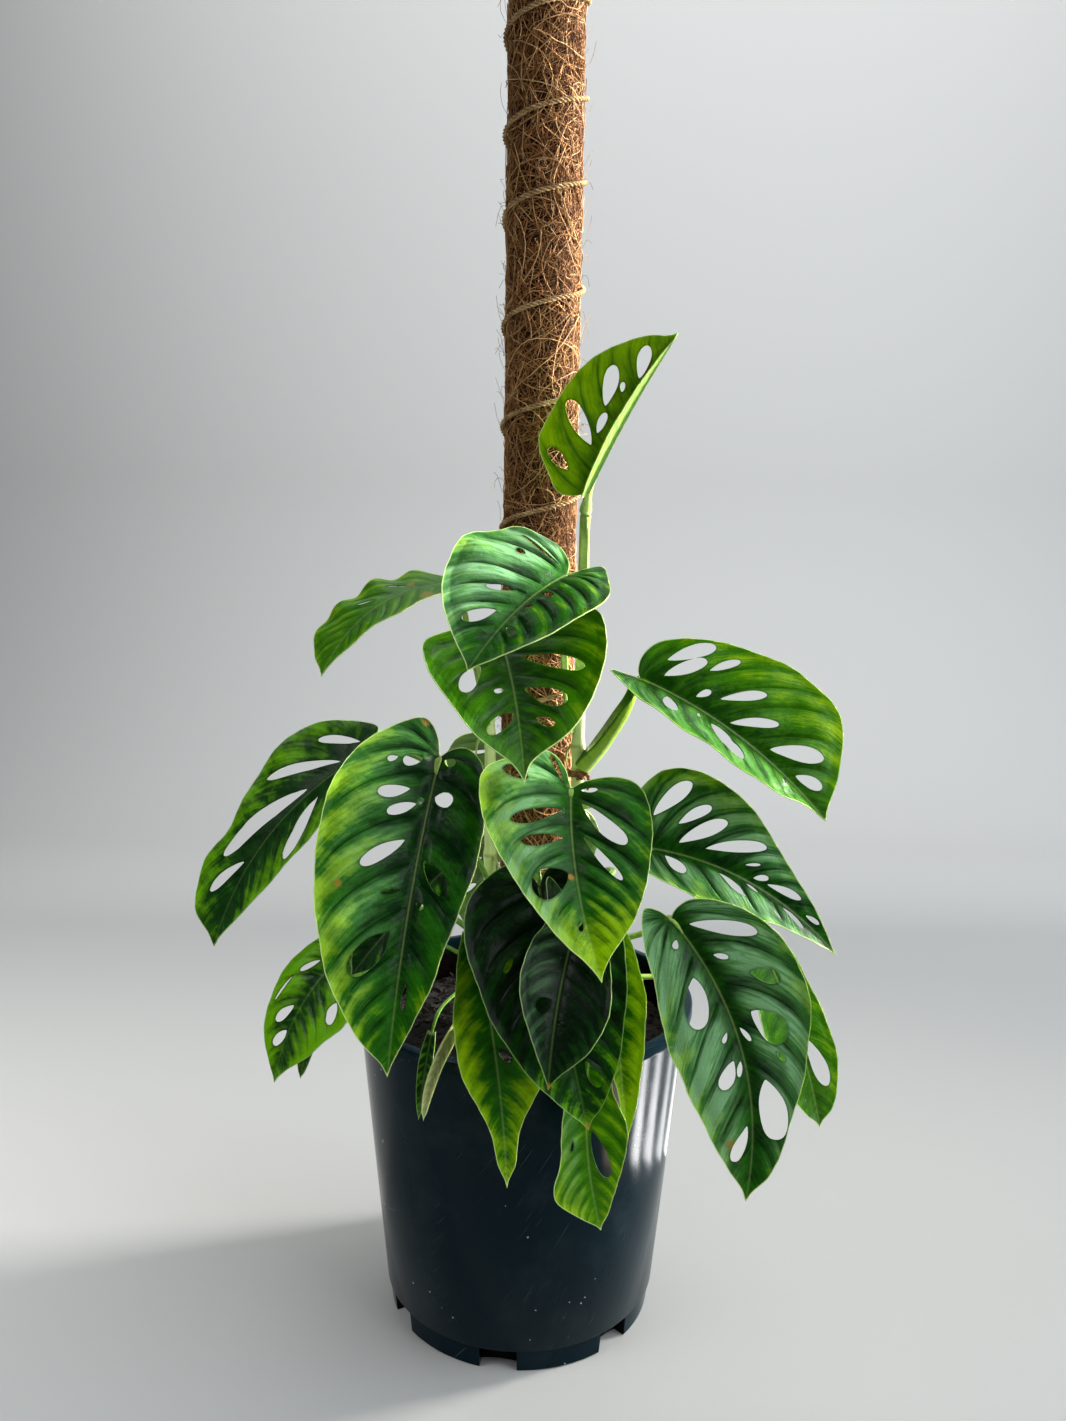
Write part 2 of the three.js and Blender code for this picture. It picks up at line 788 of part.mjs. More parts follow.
    left: half({ lobe: [3, 3], widths: [4, 6, 6.5, 6, 4, 2], fold: 12 }),
    right: half({ lobe: [3, 3], widths: [4, 6, 6.5, 6, 4, 2], fold: 12 }),
    stalkRadius: 1.4,
    stalk: [[-20, -8, 205], [-60, -8, 224], [-108, -8, 212]],
  },
  {
    name: "leaf_rim_dark",
    joint: [-46, -96, 206],
    tip: [-52, -103, 163],
    face: [-0.2, -1, 0.2],
    bow: 2,
    sway: 0,
    left: half({ lobe: [2, 2], widths: [2.5, 3.5, 4, 3.5, 2.5, 1.2], fold: 20 }),
    right: half({ lobe: [2, 2], widths: [2.5, 3.5, 4, 3.5, 2.5, 1.2], fold: 20 }),
    stalkRadius: 1.2,
    stalk: [[-21, -12, 198], [-30, -54, 215], [-43, -86, 214]],
  },
  {
    name: "leaf_rim_withered",
    joint: [-33, -100, 212],
    tip: [-49, -108, 165],
    face: [0, -1, 0.1],
    bow: 3,
    sway: 3,
    left: half({ lobe: [2, 3], widths: [5, 7, 6.5, 5, 3, 1.4], fold: 40, bend: 50 }),
    right: half({ lobe: [2, 3], widths: [5, 7, 6.5, 5, 3, 1.4], fold: 40, bend: 50 }),
    stalkRadius: 1.3,
    stalk: [[4, -29, 202], [-13, -60, 219], [-27, -92, 218]],
  },
  {
    name: "leaf_left_inner",
    joint: [-38, -50, 284],
    tip: [-92, -66, 224],
    face: [-0.3, -0.8, 0.5],
    bow: 4,
    sway: 0,
    left: half({ lobe: [5, 8], widths: [15, 19, 21, 19, 13, 6], fold: 10 }),
    right: half({ lobe: [5, 8], widths: [15, 19, 21, 19, 13, 6], fold: 10 }, [
      [0.3, 5, 0.45, 15, 5],
    ]),
    stalkRadius: 1.6,
    stalk: [[-21, -13, 262], [-27, -28, 280], [-33, -42, 290]],
  },
];

const BACK_LEAVES = [
  {
    name: "leaf_back_upper",
    joint: [-12, 48, 330],
    tip: [-34, 118, 246],
    face: [-0.2, 0.8, 0.6],
    bow: 8,
    sway: 3,
    left: half({ lobe: [12, 13], widths: [28, 34, 34, 27, 16, 6], fold: 14 }, [
      [0.12, 6, 0.22, 24, 6],
      [0.34, 6, 0.46, 22, 6],
    ]),
    right: half({ lobe: [12, 13], widths: [28, 34, 34, 27, 16, 6], fold: 14 }, [
      [0.14, 6, 0.24, 24, 6],
      [0.38, 6, 0.52, 20, 6],
    ]),
    stalkRadius: 2.2,
    stalk: [[-4, 28, 300], [-7, 32, 322], [-10, 40, 334]],
  },
  {
    name: "leaf_back_lower",
    joint: [-20, 66, 258],
    tip: [-30, 112, 172],
    face: [-0.1, 0.9, 0.5],
    bow: 7,
    sway: -3,
    left: half({ lobe: [9, 11], widths: [22, 28, 29, 24, 15, 6], fold: 14 }, [
      [0.2, 5, 0.32, 19, 6],
    ]),
    right: half({ lobe: [9, 11], widths: [22, 28, 29, 24, 15, 6], fold: 14 }, [
      [0.16, 5, 0.28, 19, 6],
      [0.44, 5, 0.56, 16, 5],
    ]),
    stalkRadius: 2,
    stalk: [[-4, 29, 246], [-8, 38, 262], [-14, 54, 266]],
  },
  {
    name: "leaf_back_right",
    joint: [16, 58, 284],
    tip: [34, 106, 208],
    face: [0.2, 0.8, 0.6],
    bow: 6,
    sway: 0,
    left: half({ lobe: [8, 10], widths: [18, 24, 25, 20, 12, 5], fold: 14 }, [
      [0.2, 5, 0.32, 16, 5],
    ]),
    right: half({ lobe: [8, 10], widths: [18, 24, 25, 20, 12, 5], fold: 14 }, [
      [0.2, 5, 0.32, 16, 5],
    ]),
    stalkRadius: 1.9,
    stalk: [[2, 29, 266], [6, 34, 282], [12, 48, 290]],
  },
];

// Vine stems: each stands in its own hole in the soil

const STEMS = [
  {
    name: "stem_right",
    radius: [4.2, 3.4],
    path: [[33, -24, 152], [30, -21, 190], [29, -19, 240], [29, -19, 310], [29, -19, 372]],
  },
  {
    name: "stem_left",
    radius: [4, 3],
    path: [[-24, -14, 152], [-21, -12, 200], [-20, -11, 260], [-20, -11, 320], [-21, -12, 362]],
  },
  {
    name: "stem_front",
    radius: [3.6, 2.8],
    path: [[2, -36, 152], [4, -30, 190], [5, -27, 225], [6, -27, 262]],
  },
  {
    name: "stem_back",
    radius: [3.8, 2.8],
    path: [[-4, 34, 152], [-3, 28, 200], [-2, 26, 250], [-2, 26, 304]],
  },
];

/** A stem along its path; the extra radius makes room for it in other pieces. */
function stemSolid(stem, extra) {
  const points = stem.path.map((point) => vec(...point));
  const [start, end] = stem.radius;
  return bar(points, start + extra, end + extra, 8, 10);
}

// Pot

/** The pot's wall, lip, ledge and floor, with a corner notch at each drain. */
function potSolid() {
  const { rimRadius, mouthRadius, baseRadius, height, wall, floor } = POT;
  const lipFoot = height - POT.lipDrop;
  const lean = (rimRadius - POT.lipOverhang - baseRadius) / height;
  const outer = (z) => baseRadius + lean * z;
  const ledge = POT.ledgeHeight;
  const foot = baseRadius - POT.footWidth;
  const channel = POT.channelDepth;
  const shell = turned(
    [
      [0, 0],
      [POT.padRadius, 0],
      [POT.padRadius + 2, channel],
      [foot - 2, channel],
      [foot, 0],
      [outer(0) - POT.ledgeStep, 0],
      [outer(ledge) - POT.ledgeStep, ledge - 0.6],
      [outer(ledge), ledge + 0.6],
      [outer(lipFoot), lipFoot],
      [rimRadius - 0.4, lipFoot],
      [rimRadius, lipFoot + 0.6],
      [rimRadius, height - 1.2],
      [rimRadius - 1, height],
      [mouthRadius, height],
      [outer(lipFoot) - wall, lipFoot - 3],
      [outer(floor) - wall - 1.5, floor + 1.5],
      [outer(floor) - wall - 3, floor],
      [0, floor],
    ],
    POT.segments,
  );
  const cutter = new THREE.BoxGeometry(30, NOTCH.width, NOTCH.height + 4);
  cutter.translate(baseRadius - NOTCH.intoFloor + 15, 0, NOTCH.height / 2 - 2);
  let pot = shell;
  for (let i = 0; i < NOTCH.count; i++) {
    const turn = radians(NOTCH.firstAngle + (i * 360) / NOTCH.count);
    pot = pot.subtract(solidOf(cutter.clone().rotateZ(turn)));
  }
  return pot;
}

/** The soil: a low heap that stops just short of the pot's wall and floor. */
function soilSolid() {
  const { baseRadius, rimRadius, height, wall } = POT;
  const lean = (rimRadius - POT.lipOverhang - baseRadius) / height;
  const inner = (z) => baseRadius + lean * z - wall - SOIL.inset;
  const { top, crown } = SOIL;
  return turned(
    [
      [0, SOIL.bottom],
      [inner(0) - 12, SOIL.bottom],
      [inner(16) - 12, 16],
      [inner(20), 20],
      [inner(top), top - 2],
      [inner(top) - 4, top],
      [inner(top) * 0.5, top + 0.8 * crown],
      [0, top + crown],
    ],
    SOIL.segments,
  );
}

// Pole, twine and tie

/** A round upright bar at the pole's place. */
function post(radius, bottom, top, segments) {
  const bar = new THREE.CylinderGeometry(radius, radius, top - bottom, segments);
  bar.rotateX(Math.PI / 2);
  bar.translate(POLE.x, POLE.y, (bottom + top) / 2);
  return solidOf(bar);
}

/** The twine: one strand wound up the pole, higher on its right side in front. */
function twineSolid() {
  const reach = POLE.radius + TWINE.standOff + TWINE.radius;
  const corners = TWINE.sideHeights.flatMap((height) => [height - TWINE.frontRise, height]);
  const steps = TWINE.stepsPerHalf;
  const points = [];
  for (let i = 0; i <= (corners.length - 1) * steps; i++) {
    const corner = Math.min(Math.floor(i / steps), corners.length - 2);
    const share = i / steps - corner;
    const height = corners[corner] + (corners[corner + 1] - corners[corner]) * share;
    const angle = Math.PI * (i / steps - 1);
    points.push(vec(POLE.x + reach * Math.cos(angle), POLE.y + reach * Math.sin(angle), height));
  }
  return bar(points, TWINE.radius, TWINE.radius, TWINE.sides, points.length - 1);
}

/** The tie: a ring of cord round the right stem. */
function tieSolid() {
  const ring = new THREE.TorusGeometry(TIE.ringRadius, TIE.cordRadius, 6, 16);
  ring.rotateX(radians(8));
  ring.translate(TIE.x, TIE.y, TIE.height);
  return solidOf(ring);
}

const group = new THREE.Group();

/** Adds a solid to the group as one named mesh. */
function addNode(name, solid) {
  const mesh = new THREE.Mesh(geometryOf(solid));
  mesh.name = name;
  group.add(mesh);
}

const stems = STEMS.map((stem) => ({
  name: stem.name,
  solid: stemSolid(stem, 0),
  room: stemSolid(stem, GAP),
}));
const poleRoom = post(POLE.radius + GAP, POLE.bottom - GAP, POLE.top + 5, POLE.segments);

let soil = soilSolid().subtract(poleRoom);
for (const stem of stems) soil = soil.subtract(stem.room);

addNode("pot", potSolid());
addNode("soil", soil);
addNode("pole_core", post(POLE.coreRadius, POLE.bottom, POLE.coreTop, 16));
addNode(
  "coir_sleeve",
  post(POLE.radius, POLE.bottom, POLE.top, POLE.segments).subtract(
    post(POLE.coreRadius + GAP, POLE.bottom - 1, POLE.top + 1, 16),
  ),
);
addNode("twine", twineSolid());
addNode("stem_tie", tieSolid());
for (const stem of stems) addNode(stem.name, stem.solid);
for (const leaf of [...LEAVES, ...BACK_LEAVES]) {
  let solid = leafSolid(leaf);
  for (const stem of stems) solid = solid.subtract(stem.room);
  addNode(leaf.name, solid);
}

export default group;
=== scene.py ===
"""Looks of a potted swiss cheese vine on a coir pole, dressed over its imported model.

Millimetres are used for every size of the plant and its pot, and turned to metres
only when a mesh is made. The origin is the middle of the pot's underside, +Z is up
and the side that most leaves face is -Y.
"""

from __future__ import annotations

import logging
import math
from dataclasses import dataclass
from enum import Enum

import bpy
import numpy as np
from mathutils import Matrix, Vector, noise
from mathutils.geometry import delaunay_2d_cdt

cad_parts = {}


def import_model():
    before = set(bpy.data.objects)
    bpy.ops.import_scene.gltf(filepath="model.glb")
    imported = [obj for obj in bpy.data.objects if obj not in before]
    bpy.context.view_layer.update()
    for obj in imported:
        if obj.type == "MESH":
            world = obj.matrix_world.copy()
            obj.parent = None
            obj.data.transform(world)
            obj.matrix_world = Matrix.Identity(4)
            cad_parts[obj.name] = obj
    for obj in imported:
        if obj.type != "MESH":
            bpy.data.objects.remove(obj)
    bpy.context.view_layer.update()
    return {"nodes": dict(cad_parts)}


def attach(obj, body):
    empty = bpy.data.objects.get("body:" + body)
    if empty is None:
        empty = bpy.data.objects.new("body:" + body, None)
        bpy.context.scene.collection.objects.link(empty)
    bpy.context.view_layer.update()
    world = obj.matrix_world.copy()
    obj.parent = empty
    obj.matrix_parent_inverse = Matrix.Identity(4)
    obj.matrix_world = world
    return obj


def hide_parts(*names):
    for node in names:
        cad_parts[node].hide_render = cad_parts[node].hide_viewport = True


log = logging.getLogger("vine")

MM = 0.001
BODY = "root"
TAU = 2 * math.pi

Array = np.ndarray
Faces = list[tuple[int, ...]]
Place = tuple[float, float, float]
Piece = bpy.types.Object
Material = bpy.types.Material
Tree = bpy.types.NodeTree
Node = bpy.types.Node
Socket = bpy.types.NodeSocket
Setting = str | int | float | bool
Value = Node | Socket | Material | float | int | tuple[float, ...]


class Slot(Enum):
    """The record's material slots that the pieces take their finish from."""

    POT = "pot_plastic"
    SOIL = "potting_soil"
    COIR = "coir_fibre"
    JUTE = "jute_twine"
    STEM = "vine_stem"
    LIME = "leaf_lime"
    GREEN = "leaf_green"
    DARK = "leaf_dark"
    WITHERED = "leaf_withered"


# Small helpers


def linear(colour: str) -> tuple[float, float, float, float]:
    """Turns an sRGB hex colour into linear light.

    Args:
        colour: six hex digits with a leading hash.

    Returns:
        Red, green, blue and an alpha of one.
    """
    parts = [int(colour[i : i + 2], 16) / 255 for i in (1, 3, 5)]
    light = [c / 12.92 if c <= 0.04045 else ((c + 0.055) / 1.055) ** 2.4 for c in parts]
    return (light[0], light[1], light[2], 1.0)


def feed(tree: Tree, node: Node, inputs: dict[str | int, Value]) -> None:
    """Sets a node's inputs or links them to other nodes.

    Args:
        tree: the shader or geometry tree.
        node: the node that is fed.
        inputs: for each input, by name or number, a value, another node's socket or
            another node, which stands for its first output in use.
    """
    for key, value in inputs.items():
        if isinstance(value, Node):
            value = next(socket for socket in value.outputs if socket.enabled)
        if isinstance(value, Socket):
            tree.links.new(value, node.inputs[key])
        else:
            node.inputs[key].default_value = value


def add_node(
    tree: Tree, kind: str, inputs: dict[str | int, Value] | None = None, **settings: Setting
) -> Node:
    """Adds a node to a tree.

    Args:
        tree: the shader or geometry tree.
        kind: the node's type name.
        inputs: what its inputs are fed with.
        settings: properties of the node itself.

    Returns:
        The new node.
    """
    node = tree.nodes.new(kind)
    for name, setting in settings.items():
        setattr(node, name, setting)
    feed(tree, node, inputs or {})
    return node


def unit(vectors: Array) -> Array:
    """Scales vectors to a length of one."""
    return vectors / np.maximum(np.linalg.norm(vectors, axis=-1, keepdims=True), 1e-12)


def ease(values: Array, low: float, high: float) -> Array:
    """Rises smoothly from 0 at the low value to 1 at the high one."""
    share = np.clip((values - low) / (high - low), 0, 1)
    return share * share * (3 - 2 * share)


def smooth_line(corners: Array, spacing: float) -> Array:
    """Runs a centripetal spline through points and samples it at an even spacing.

    Args:
        corners: the points, one row each, in two or three dimensions.
        spacing: about how far apart the samples are.

    Returns:
        The samples, from the first corner to the last.
    """
    ends = [2 * corners[0] - corners[1], 2 * corners[-1] - corners[-2]]
    rows = np.vstack([ends[0], corners, ends[1]])
    line = []
    for before, start, stop, after in zip(rows, rows[1:], rows[2:], rows[3:]):
        gaps = [np.linalg.norm(b - a) ** 0.5 for a, b in ((before, start), (start, stop), (stop, after))]
        first, middle, last = [max(gap, 1e-2) for gap in gaps]
        leave = (start - before) / first - (stop - before) / (first + middle)
        leave = (leave + (stop - start) / middle) * middle
        arrive = (stop - start) / middle - (after - start) / (middle + last)
        arrive = (arrive + (after - stop) / last) * middle
        count = max(2, round(float(np.linalg.norm(stop - start)) / spacing))
        t = np.arange(count)[:, None] / count
        bend = -3 * start + 3 * stop - 2 * leave - arrive
        twist = 2 * start - 2 * stop + leave + arrive
        line.append(start + leave * t + bend * t**2 + twist * t**3)
    return np.vstack([*line, corners[-1:]])


def make_mesh(name: str, points: Array, faces: Faces | Array, sharp: float = 40.0) -> Piece:
    """Makes a smooth-shaded mesh object from points in millimetres.

    Args:
        name: the object's name.
        points: one row per vertex, in millimetres.
        faces: the corners of each face.
        sharp: the angle in degrees past which an edge stays sharp.

    Returns:
        The object, linked to the scene.
    """
    mesh = bpy.data.meshes.new(name)
    mesh.from_pydata((np.asarray(points) * MM).tolist(), [], [tuple(map(int, f)) for f in faces])
    mesh.shade_smooth()
    mesh.set_sharp_from_angle(angle=math.radians(sharp))
    piece = bpy.data.objects.new(name, mesh)
    bpy.context.scene.collection.objects.link(piece)
    return piece


def mark_points(piece: Piece, name: str, values: Array) -> None:
    """Stores one number for each vertex of a piece, for its material to read."""
    layer = piece.data.attributes.new(name, "FLOAT", "POINT")
    layer.data.foreach_set("value", np.ascontiguousarray(values, dtype=np.float32))


def lay_map(piece: Piece, name: str, places: Array) -> None:
    """Stores a UV map from one pair of numbers for each vertex of a piece."""
    corners = np.empty(len(piece.data.loops), dtype=np.int32)
    piece.data.loops.foreach_get("vertex_index", corners)
    layer = piece.data.uv_layers.new(name=name)
    layer.data.foreach_set("uv", places[corners].astype(np.float32).ravel())


def seat(piece: Piece, slot: Slot, material: Material, *nodes: str) -> None:
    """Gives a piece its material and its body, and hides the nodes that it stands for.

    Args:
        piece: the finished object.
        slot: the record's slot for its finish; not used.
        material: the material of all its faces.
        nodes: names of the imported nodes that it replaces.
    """
    piece.data.materials.clear()
    piece.data.materials.append(material)
    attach(piece, BODY)
    if nodes:
        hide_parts(*nodes)
    triangles = sum(len(face.vertices) - 2 for face in piece.data.polygons)
    log.info("%s: %d triangles", piece.name, triangles)


def sweep(
    path: Array, radii: Array, sides: int, groove: float = 0.0, up: Place = (0.0, -0.3, 1.0)
) -> tuple[Array, Faces]:
    """Sweeps a round section with rounded-off ends along a path.

    Args:
        path: points along the middle, in millimetres.
        radii: the radius at each point.
        sides: corners of the section.
        groove: depth of the channel along the upper side, as a share of the radius.
        up: about which way the channel opens.

    Returns:
        The points and the faces.
    """
    ahead = unit(np.gradient(path, axis=0))
    across = unit(np.cross(ahead, np.array(up)))
    over = np.cross(across, ahead)
    angles = np.arange(sides) * TAU / sides
    channel = 1 - groove * np.maximum(np.sin(angles), 0) ** 3
    rings = []
    for place, side, top, radius in zip(path, across, over, radii):
        out = np.outer(np.cos(angles), side) + np.outer(np.sin(angles) * channel, top)
        rings.append(place + radius * out)
    count = len(path)
    start = path[:1] - ahead[0] * radii[0] * 0.4
    end = path[-1:] + ahead[-1] * radii[-1] * 0.4
    points = np.vstack([*rings, start, end])
    faces: Faces = []
    for ring in range(count - 1):
        here = ring * sides
        for k in range(sides):
            turn = (k + 1) % sides
            faces.append((here + k, here + turn, here + sides + turn, here + sides + k))
    first, last = count * sides, count * sides + 1
    for k in range(sides):
        turn = (k + 1) % sides
        faces.append((first, turn, k))
        faces.append((last, (count - 1) * sides + k, (count - 1) * sides + turn))
    return points, faces


def turned(profile: Array, segments: int) -> tuple[Array, Faces]:
    """Turns a closed profile round the upright axis.

    Args:
        profile: radius and height pairs, up the outside and back down the inside; the
            first and the last one lie on the axis.
        segments: steps round the axis.

    Returns:
        The points and the faces, facing outwards.
    """
    angles = np.arange(segments) * TAU / segments
    rings = [
        np.column_stack([r * np.cos(angles), r * np.sin(angles), np.full(segments, z)])
        for r, z in profile[1:-1]
    ]
    poles = [[0, 0, profile[0][1]], [0, 0, profile[-1][1]]]
    points = np.vstack([*rings, poles])
    faces: Faces = []
    last = (len(rings) - 1) * segments
    low, high = len(rings) * segments, len(rings) * segments + 1
    for k in range(segments):
        turn = (k + 1) % segments
        faces.append((low, turn, k))
        faces.append((high, last + k, last + turn))
        for ring in range(len(rings) - 1):
            here = ring * segments
            faces.append((here + k, here + turn, here + segments + turn, here + segments + k))
    return points, faces


# Finishes


def new_material(name: str) -> tuple[Material, Tree, Node]:
    """Starts a node material.

    Args:
        name: the real material and how it was made.

    Returns:
        The material, its tree and its surface shader.
    """
    material = bpy.data.materials.new(name)
    material.use_nodes = True
    tree = material.node_tree
    return material, tree, tree.nodes["Principled BSDF"]


@dataclass(frozen=True)
class LeafFinish:
    """Living leaf: a thin waxed skin over soft green flesh, with painted light brighter between its veins,
    painted shade and a painted sheen.
    """

    name: str
    shade: str
    flesh: str
    light: str
    vein: str
    margin: str = "#BFD488"
    under: str = "#7FA35A"
    # Colour of the painted sheen, a pale sage standing in for the light's reflection on the wax.
    painted_sheen: str = "#6E9A6C"
    scar: str = "#96722A"
    mottle: float = 0.15
    roughness: float = 0.34
    coat: float = 0.04
    patch_mm: float = 9.0
    grain_mm: float = 2.2
    cell_mm: float = 2.4
    relief_mm: float = 0.2
    depth_mm: float = 1.0

    def build(self) -> Material:
        """Makes the material; the blade's own marks drive its veins, its rim, its tone with painted light
        and shade, and its painted sheen.
        """
        material, tree, shader = new_material(self.name)
        marks = {
            name: add_node(tree, "ShaderNodeAttribute", attribute_name=name).outputs["Fac"]
            for name in ("tone", "vein", "edge", "hole", "rib", "under", "scar", "painted_sheen")
        }
        blade, lanes = (add_node(tree, "ShaderNodeUVMap", uv_map=name) for name in ("blade", "lanes"))
        patch_place = add_node(tree, "ShaderNodeMapping", {
            "Vector": blade, "Rotation": (0.0, 0.0, 0.5),
            "Scale": (1 / self.patch_mm, 0.6 / self.patch_mm, 1.0),
        })
        grain_place = add_node(tree, "ShaderNodeMapping", {
            "Vector": lanes, "Scale": (1 / self.grain_mm, 0.2 / self.grain_mm, 1.0),
        })
        net_place = add_node(tree, "ShaderNodeMapping", {
            "Vector": lanes, "Scale": (1 / self.cell_mm, 0.6 / self.cell_mm, 1.0),
        })
        patches = add_node(tree, "ShaderNodeTexNoise", {
            "Vector": patch_place, "Scale": 1.0, "Detail": 5.0, "Roughness": 0.62,
        }, noise_dimensions="2D")
        grain = add_node(tree, "ShaderNodeTexNoise", {
            "Vector": grain_place, "Scale": 1.0, "Detail": 2.0, "Roughness": 0.5,
        }, noise_dimensions="2D")
        net = add_node(tree, "ShaderNodeTexVoronoi", {
            "Vector": net_place, "Scale": 1.0,
        }, feature="DISTANCE_TO_EDGE", voronoi_dimensions="2D")
        patch_tone = add_node(tree, "ShaderNodeMapRange", {
            "Value": patches, "From Min": 0.35, "From Max": 0.65,
            "To Min": -self.mottle, "To Max": self.mottle,
        })
        grain_tone = add_node(tree, "ShaderNodeMapRange", {
            "Value": grain, "From Min": 0.3, "From Max": 0.7, "To Min": -0.1, "To Max": 0.1,
        })
        rough_tone = add_node(tree, "ShaderNodeMath", {0: patch_tone, 1: grain_tone}, operation="ADD")
        tone = add_node(tree, "ShaderNodeMath", {0: marks["tone"], 1: rough_tone}, operation="ADD")
        ramp = add_node(tree, "ShaderNodeValToRGB", {"Fac": tone})
        ramp.color_ramp.elements[0].color = linear(self.shade)
        ramp.color_ramp.elements[1].color = linear(self.light)
        ramp.color_ramp.elements.new(0.5).color = linear(self.flesh)
        # Painted sheen: a pale sage colour laid in streaks where the blade's sheen mark is, standing in for
        # the light's reflection.
        sheen_streak = add_node(tree, "ShaderNodeMapRange", {
            "Value": grain, "From Min": 0.38, "From Max": 0.6, "To Min": 0.35,
        })
        sheen_share = add_node(tree, "ShaderNodeMath", {0: marks["painted_sheen"], 1: sheen_streak}, operation="MULTIPLY")
        rim = add_node(tree, "ShaderNodeMapRange", {
            "Value": marks["edge"], "From Min": 0.15, "From Max": 0.55, "To Min": 0.7, "To Max": 0.0,
        })
        brink = add_node(tree, "ShaderNodeMapRange", {
            "Value": marks["hole"], "From Min": 0.1, "From Max": 1.3, "To Min": 0.6, "To Max": 0.0,
        })
        skin = ramp
        for share, colour in (
            (marks["under"], self.under), (sheen_share, self.painted_sheen), (marks["vein"], self.vein),
            (rim, self.margin), (brink, self.vein), (marks["rib"], self.margin), (marks["scar"], self.scar),
        ):
            skin = add_node(tree, "ShaderNodeMix", {0: share, 6: skin, 7: linear(colour)}, data_type="RGBA")
        gloss = add_node(tree, "ShaderNodeMapRange", {
            "Value": patches, "From Min": 0.3, "From Max": 0.7,
            "To Min": self.roughness - 0.08, "To Max": self.roughness + 0.12,
        })
        cells = add_node(tree, "ShaderNodeMapRange", {"Value": net, "From Max": 0.14, "To Max": 0.45})
        fine = add_node(tree, "ShaderNodeMath", {0: grain, 1: cells}, operation="ADD")
        height = add_node(tree, "ShaderNodeMath", {0: patches, 1: 3.5, 2: fine}, operation="MULTIPLY_ADD")
        bump = add_node(tree, "ShaderNodeBump", {
            "Height": height, "Strength": 0.8, "Distance": self.relief_mm * MM,
        })
        feed(tree, shader, {
            "Base Color": skin, "Roughness": gloss, "Normal": bump, "Coat Weight": self.coat,
            "Coat Roughness": 0.16, "Subsurface Weight": 0.3, "Subsurface Radius": (0.8, 1.0, 0.15),
            "Subsurface Scale": self.depth_mm * MM, "IOR": 1.45, "Specular IOR Level": 0.08,
        })
        return material


@dataclass(frozen=True)
class StemFinish:
    """Living stem: smooth satin skin with lengthwise streaks and small pale specks."""

    name: str
    pale: str
    deep: str
    scar: str
    streak_mm: float = 1.1
    roughness: float = 0.38

    def build(self) -> Material:
        """Makes the material; the streaks run along each stem's own map."""
        material, tree, shader = new_material(self.name)
        lengthwise = add_node(tree, "ShaderNodeUVMap", uv_map="blade")
        place = add_node(tree, "ShaderNodeMapping", {
            "Vector": lengthwise, "Scale": (0.06 / self.streak_mm, 1 / self.streak_mm, 1.0),
        })
        streaks = add_node(tree, "ShaderNodeTexNoise", {
            "Vector": place, "Scale": 1.0, "Detail": 3.0,
        }, noise_dimensions="2D")
        tone = add_node(tree, "ShaderNodeAttribute", attribute_name="tone").outputs["Fac"]
        mixed = add_node(tree, "ShaderNodeMath", {0: streaks, 1: 0.5, 2: tone}, operation="MULTIPLY_ADD")
        share = add_node(tree, "ShaderNodeMapRange", {"Value": mixed, "From Min": 0.15, "From Max": 1.1})
        skin = add_node(tree, "ShaderNodeMix", {
            0: share, 6: linear(self.deep), 7: linear(self.pale),
        }, data_type="RGBA")
        ring = add_node(tree, "ShaderNodeAttribute", attribute_name="scar").outputs["Fac"]
        ringed = add_node(tree, "ShaderNodeMix", {0: ring, 6: skin, 7: linear(self.scar)}, data_type="RGBA")
        bump = add_node(tree, "ShaderNodeBump", {"Height": streaks, "Strength": 0.5, "Distance": 0.12 * MM})
        feed(tree, shader, {
            "Base Color": ringed, "Normal": bump, "Roughness": self.roughness, "Coat Weight": 0.15,
        })
        return material


@dataclass(frozen=True)
class FibreFinish:
    """Plant fibre, retted and dried: matt, each length a little lighter or darker."""

    name: str
    dark: str
    middle: str
    pale: str
    spread_mm: float
    fine_mm: float
    roughness: float = 0.78
    by_strand: float = 0.0

    def build(self) -> Material:
        """Makes the material; tangled noise stands for the single fibres' colours."""
        material, tree, shader = new_material(self.name)
        place = add_node(tree, "ShaderNodeTexCoord").outputs["Object"]
        wide = add_node(tree, "ShaderNodeTexNoise", {
            "Vector": place, "Scale": 1 / (self.spread_mm * MM), "Detail": 2.0, "Distortion": 0.6,
        })
        fine = add_node(tree, "ShaderNodeTexNoise", {
            "Vector": place, "Scale": 1 / (self.fine_mm * MM), "Detail": 3.0, "Distortion": 1.2,
        })
        blend = add_node(tree, "ShaderNodeMath", {0: wide, 1: 0.6, 2: fine}, operation="MULTIPLY_ADD")
        share = add_node(tree, "ShaderNodeMapRange", {"Value": blend, "From Min": 0.6})
        strand = add_node(tree, "ShaderNodeAttribute", attribute_name="strand").outputs["Fac"]
        mixed = add_node(tree, "ShaderNodeMix", {0: self.by_strand, 2: share, 3: strand})
        ramp = add_node(tree, "ShaderNodeValToRGB", {"Fac": mixed})
        ramp.color_ramp.elements[0].color = linear(self.dark)
        ramp.color_ramp.elements[1].color = linear(self.pale)
        ramp.color_ramp.elements.new(0.5).color = linear(self.middle)
        bump = add_node(tree, "ShaderNodeBump", {"Height": fine, "Strength": 0.8, "Distance": 0.4 * MM})
        feed(tree, shader, {
            "Base Color": ramp, "Normal": bump, "Roughness": self.roughness, "Specular IOR Level": 0.25,
        })
        return material


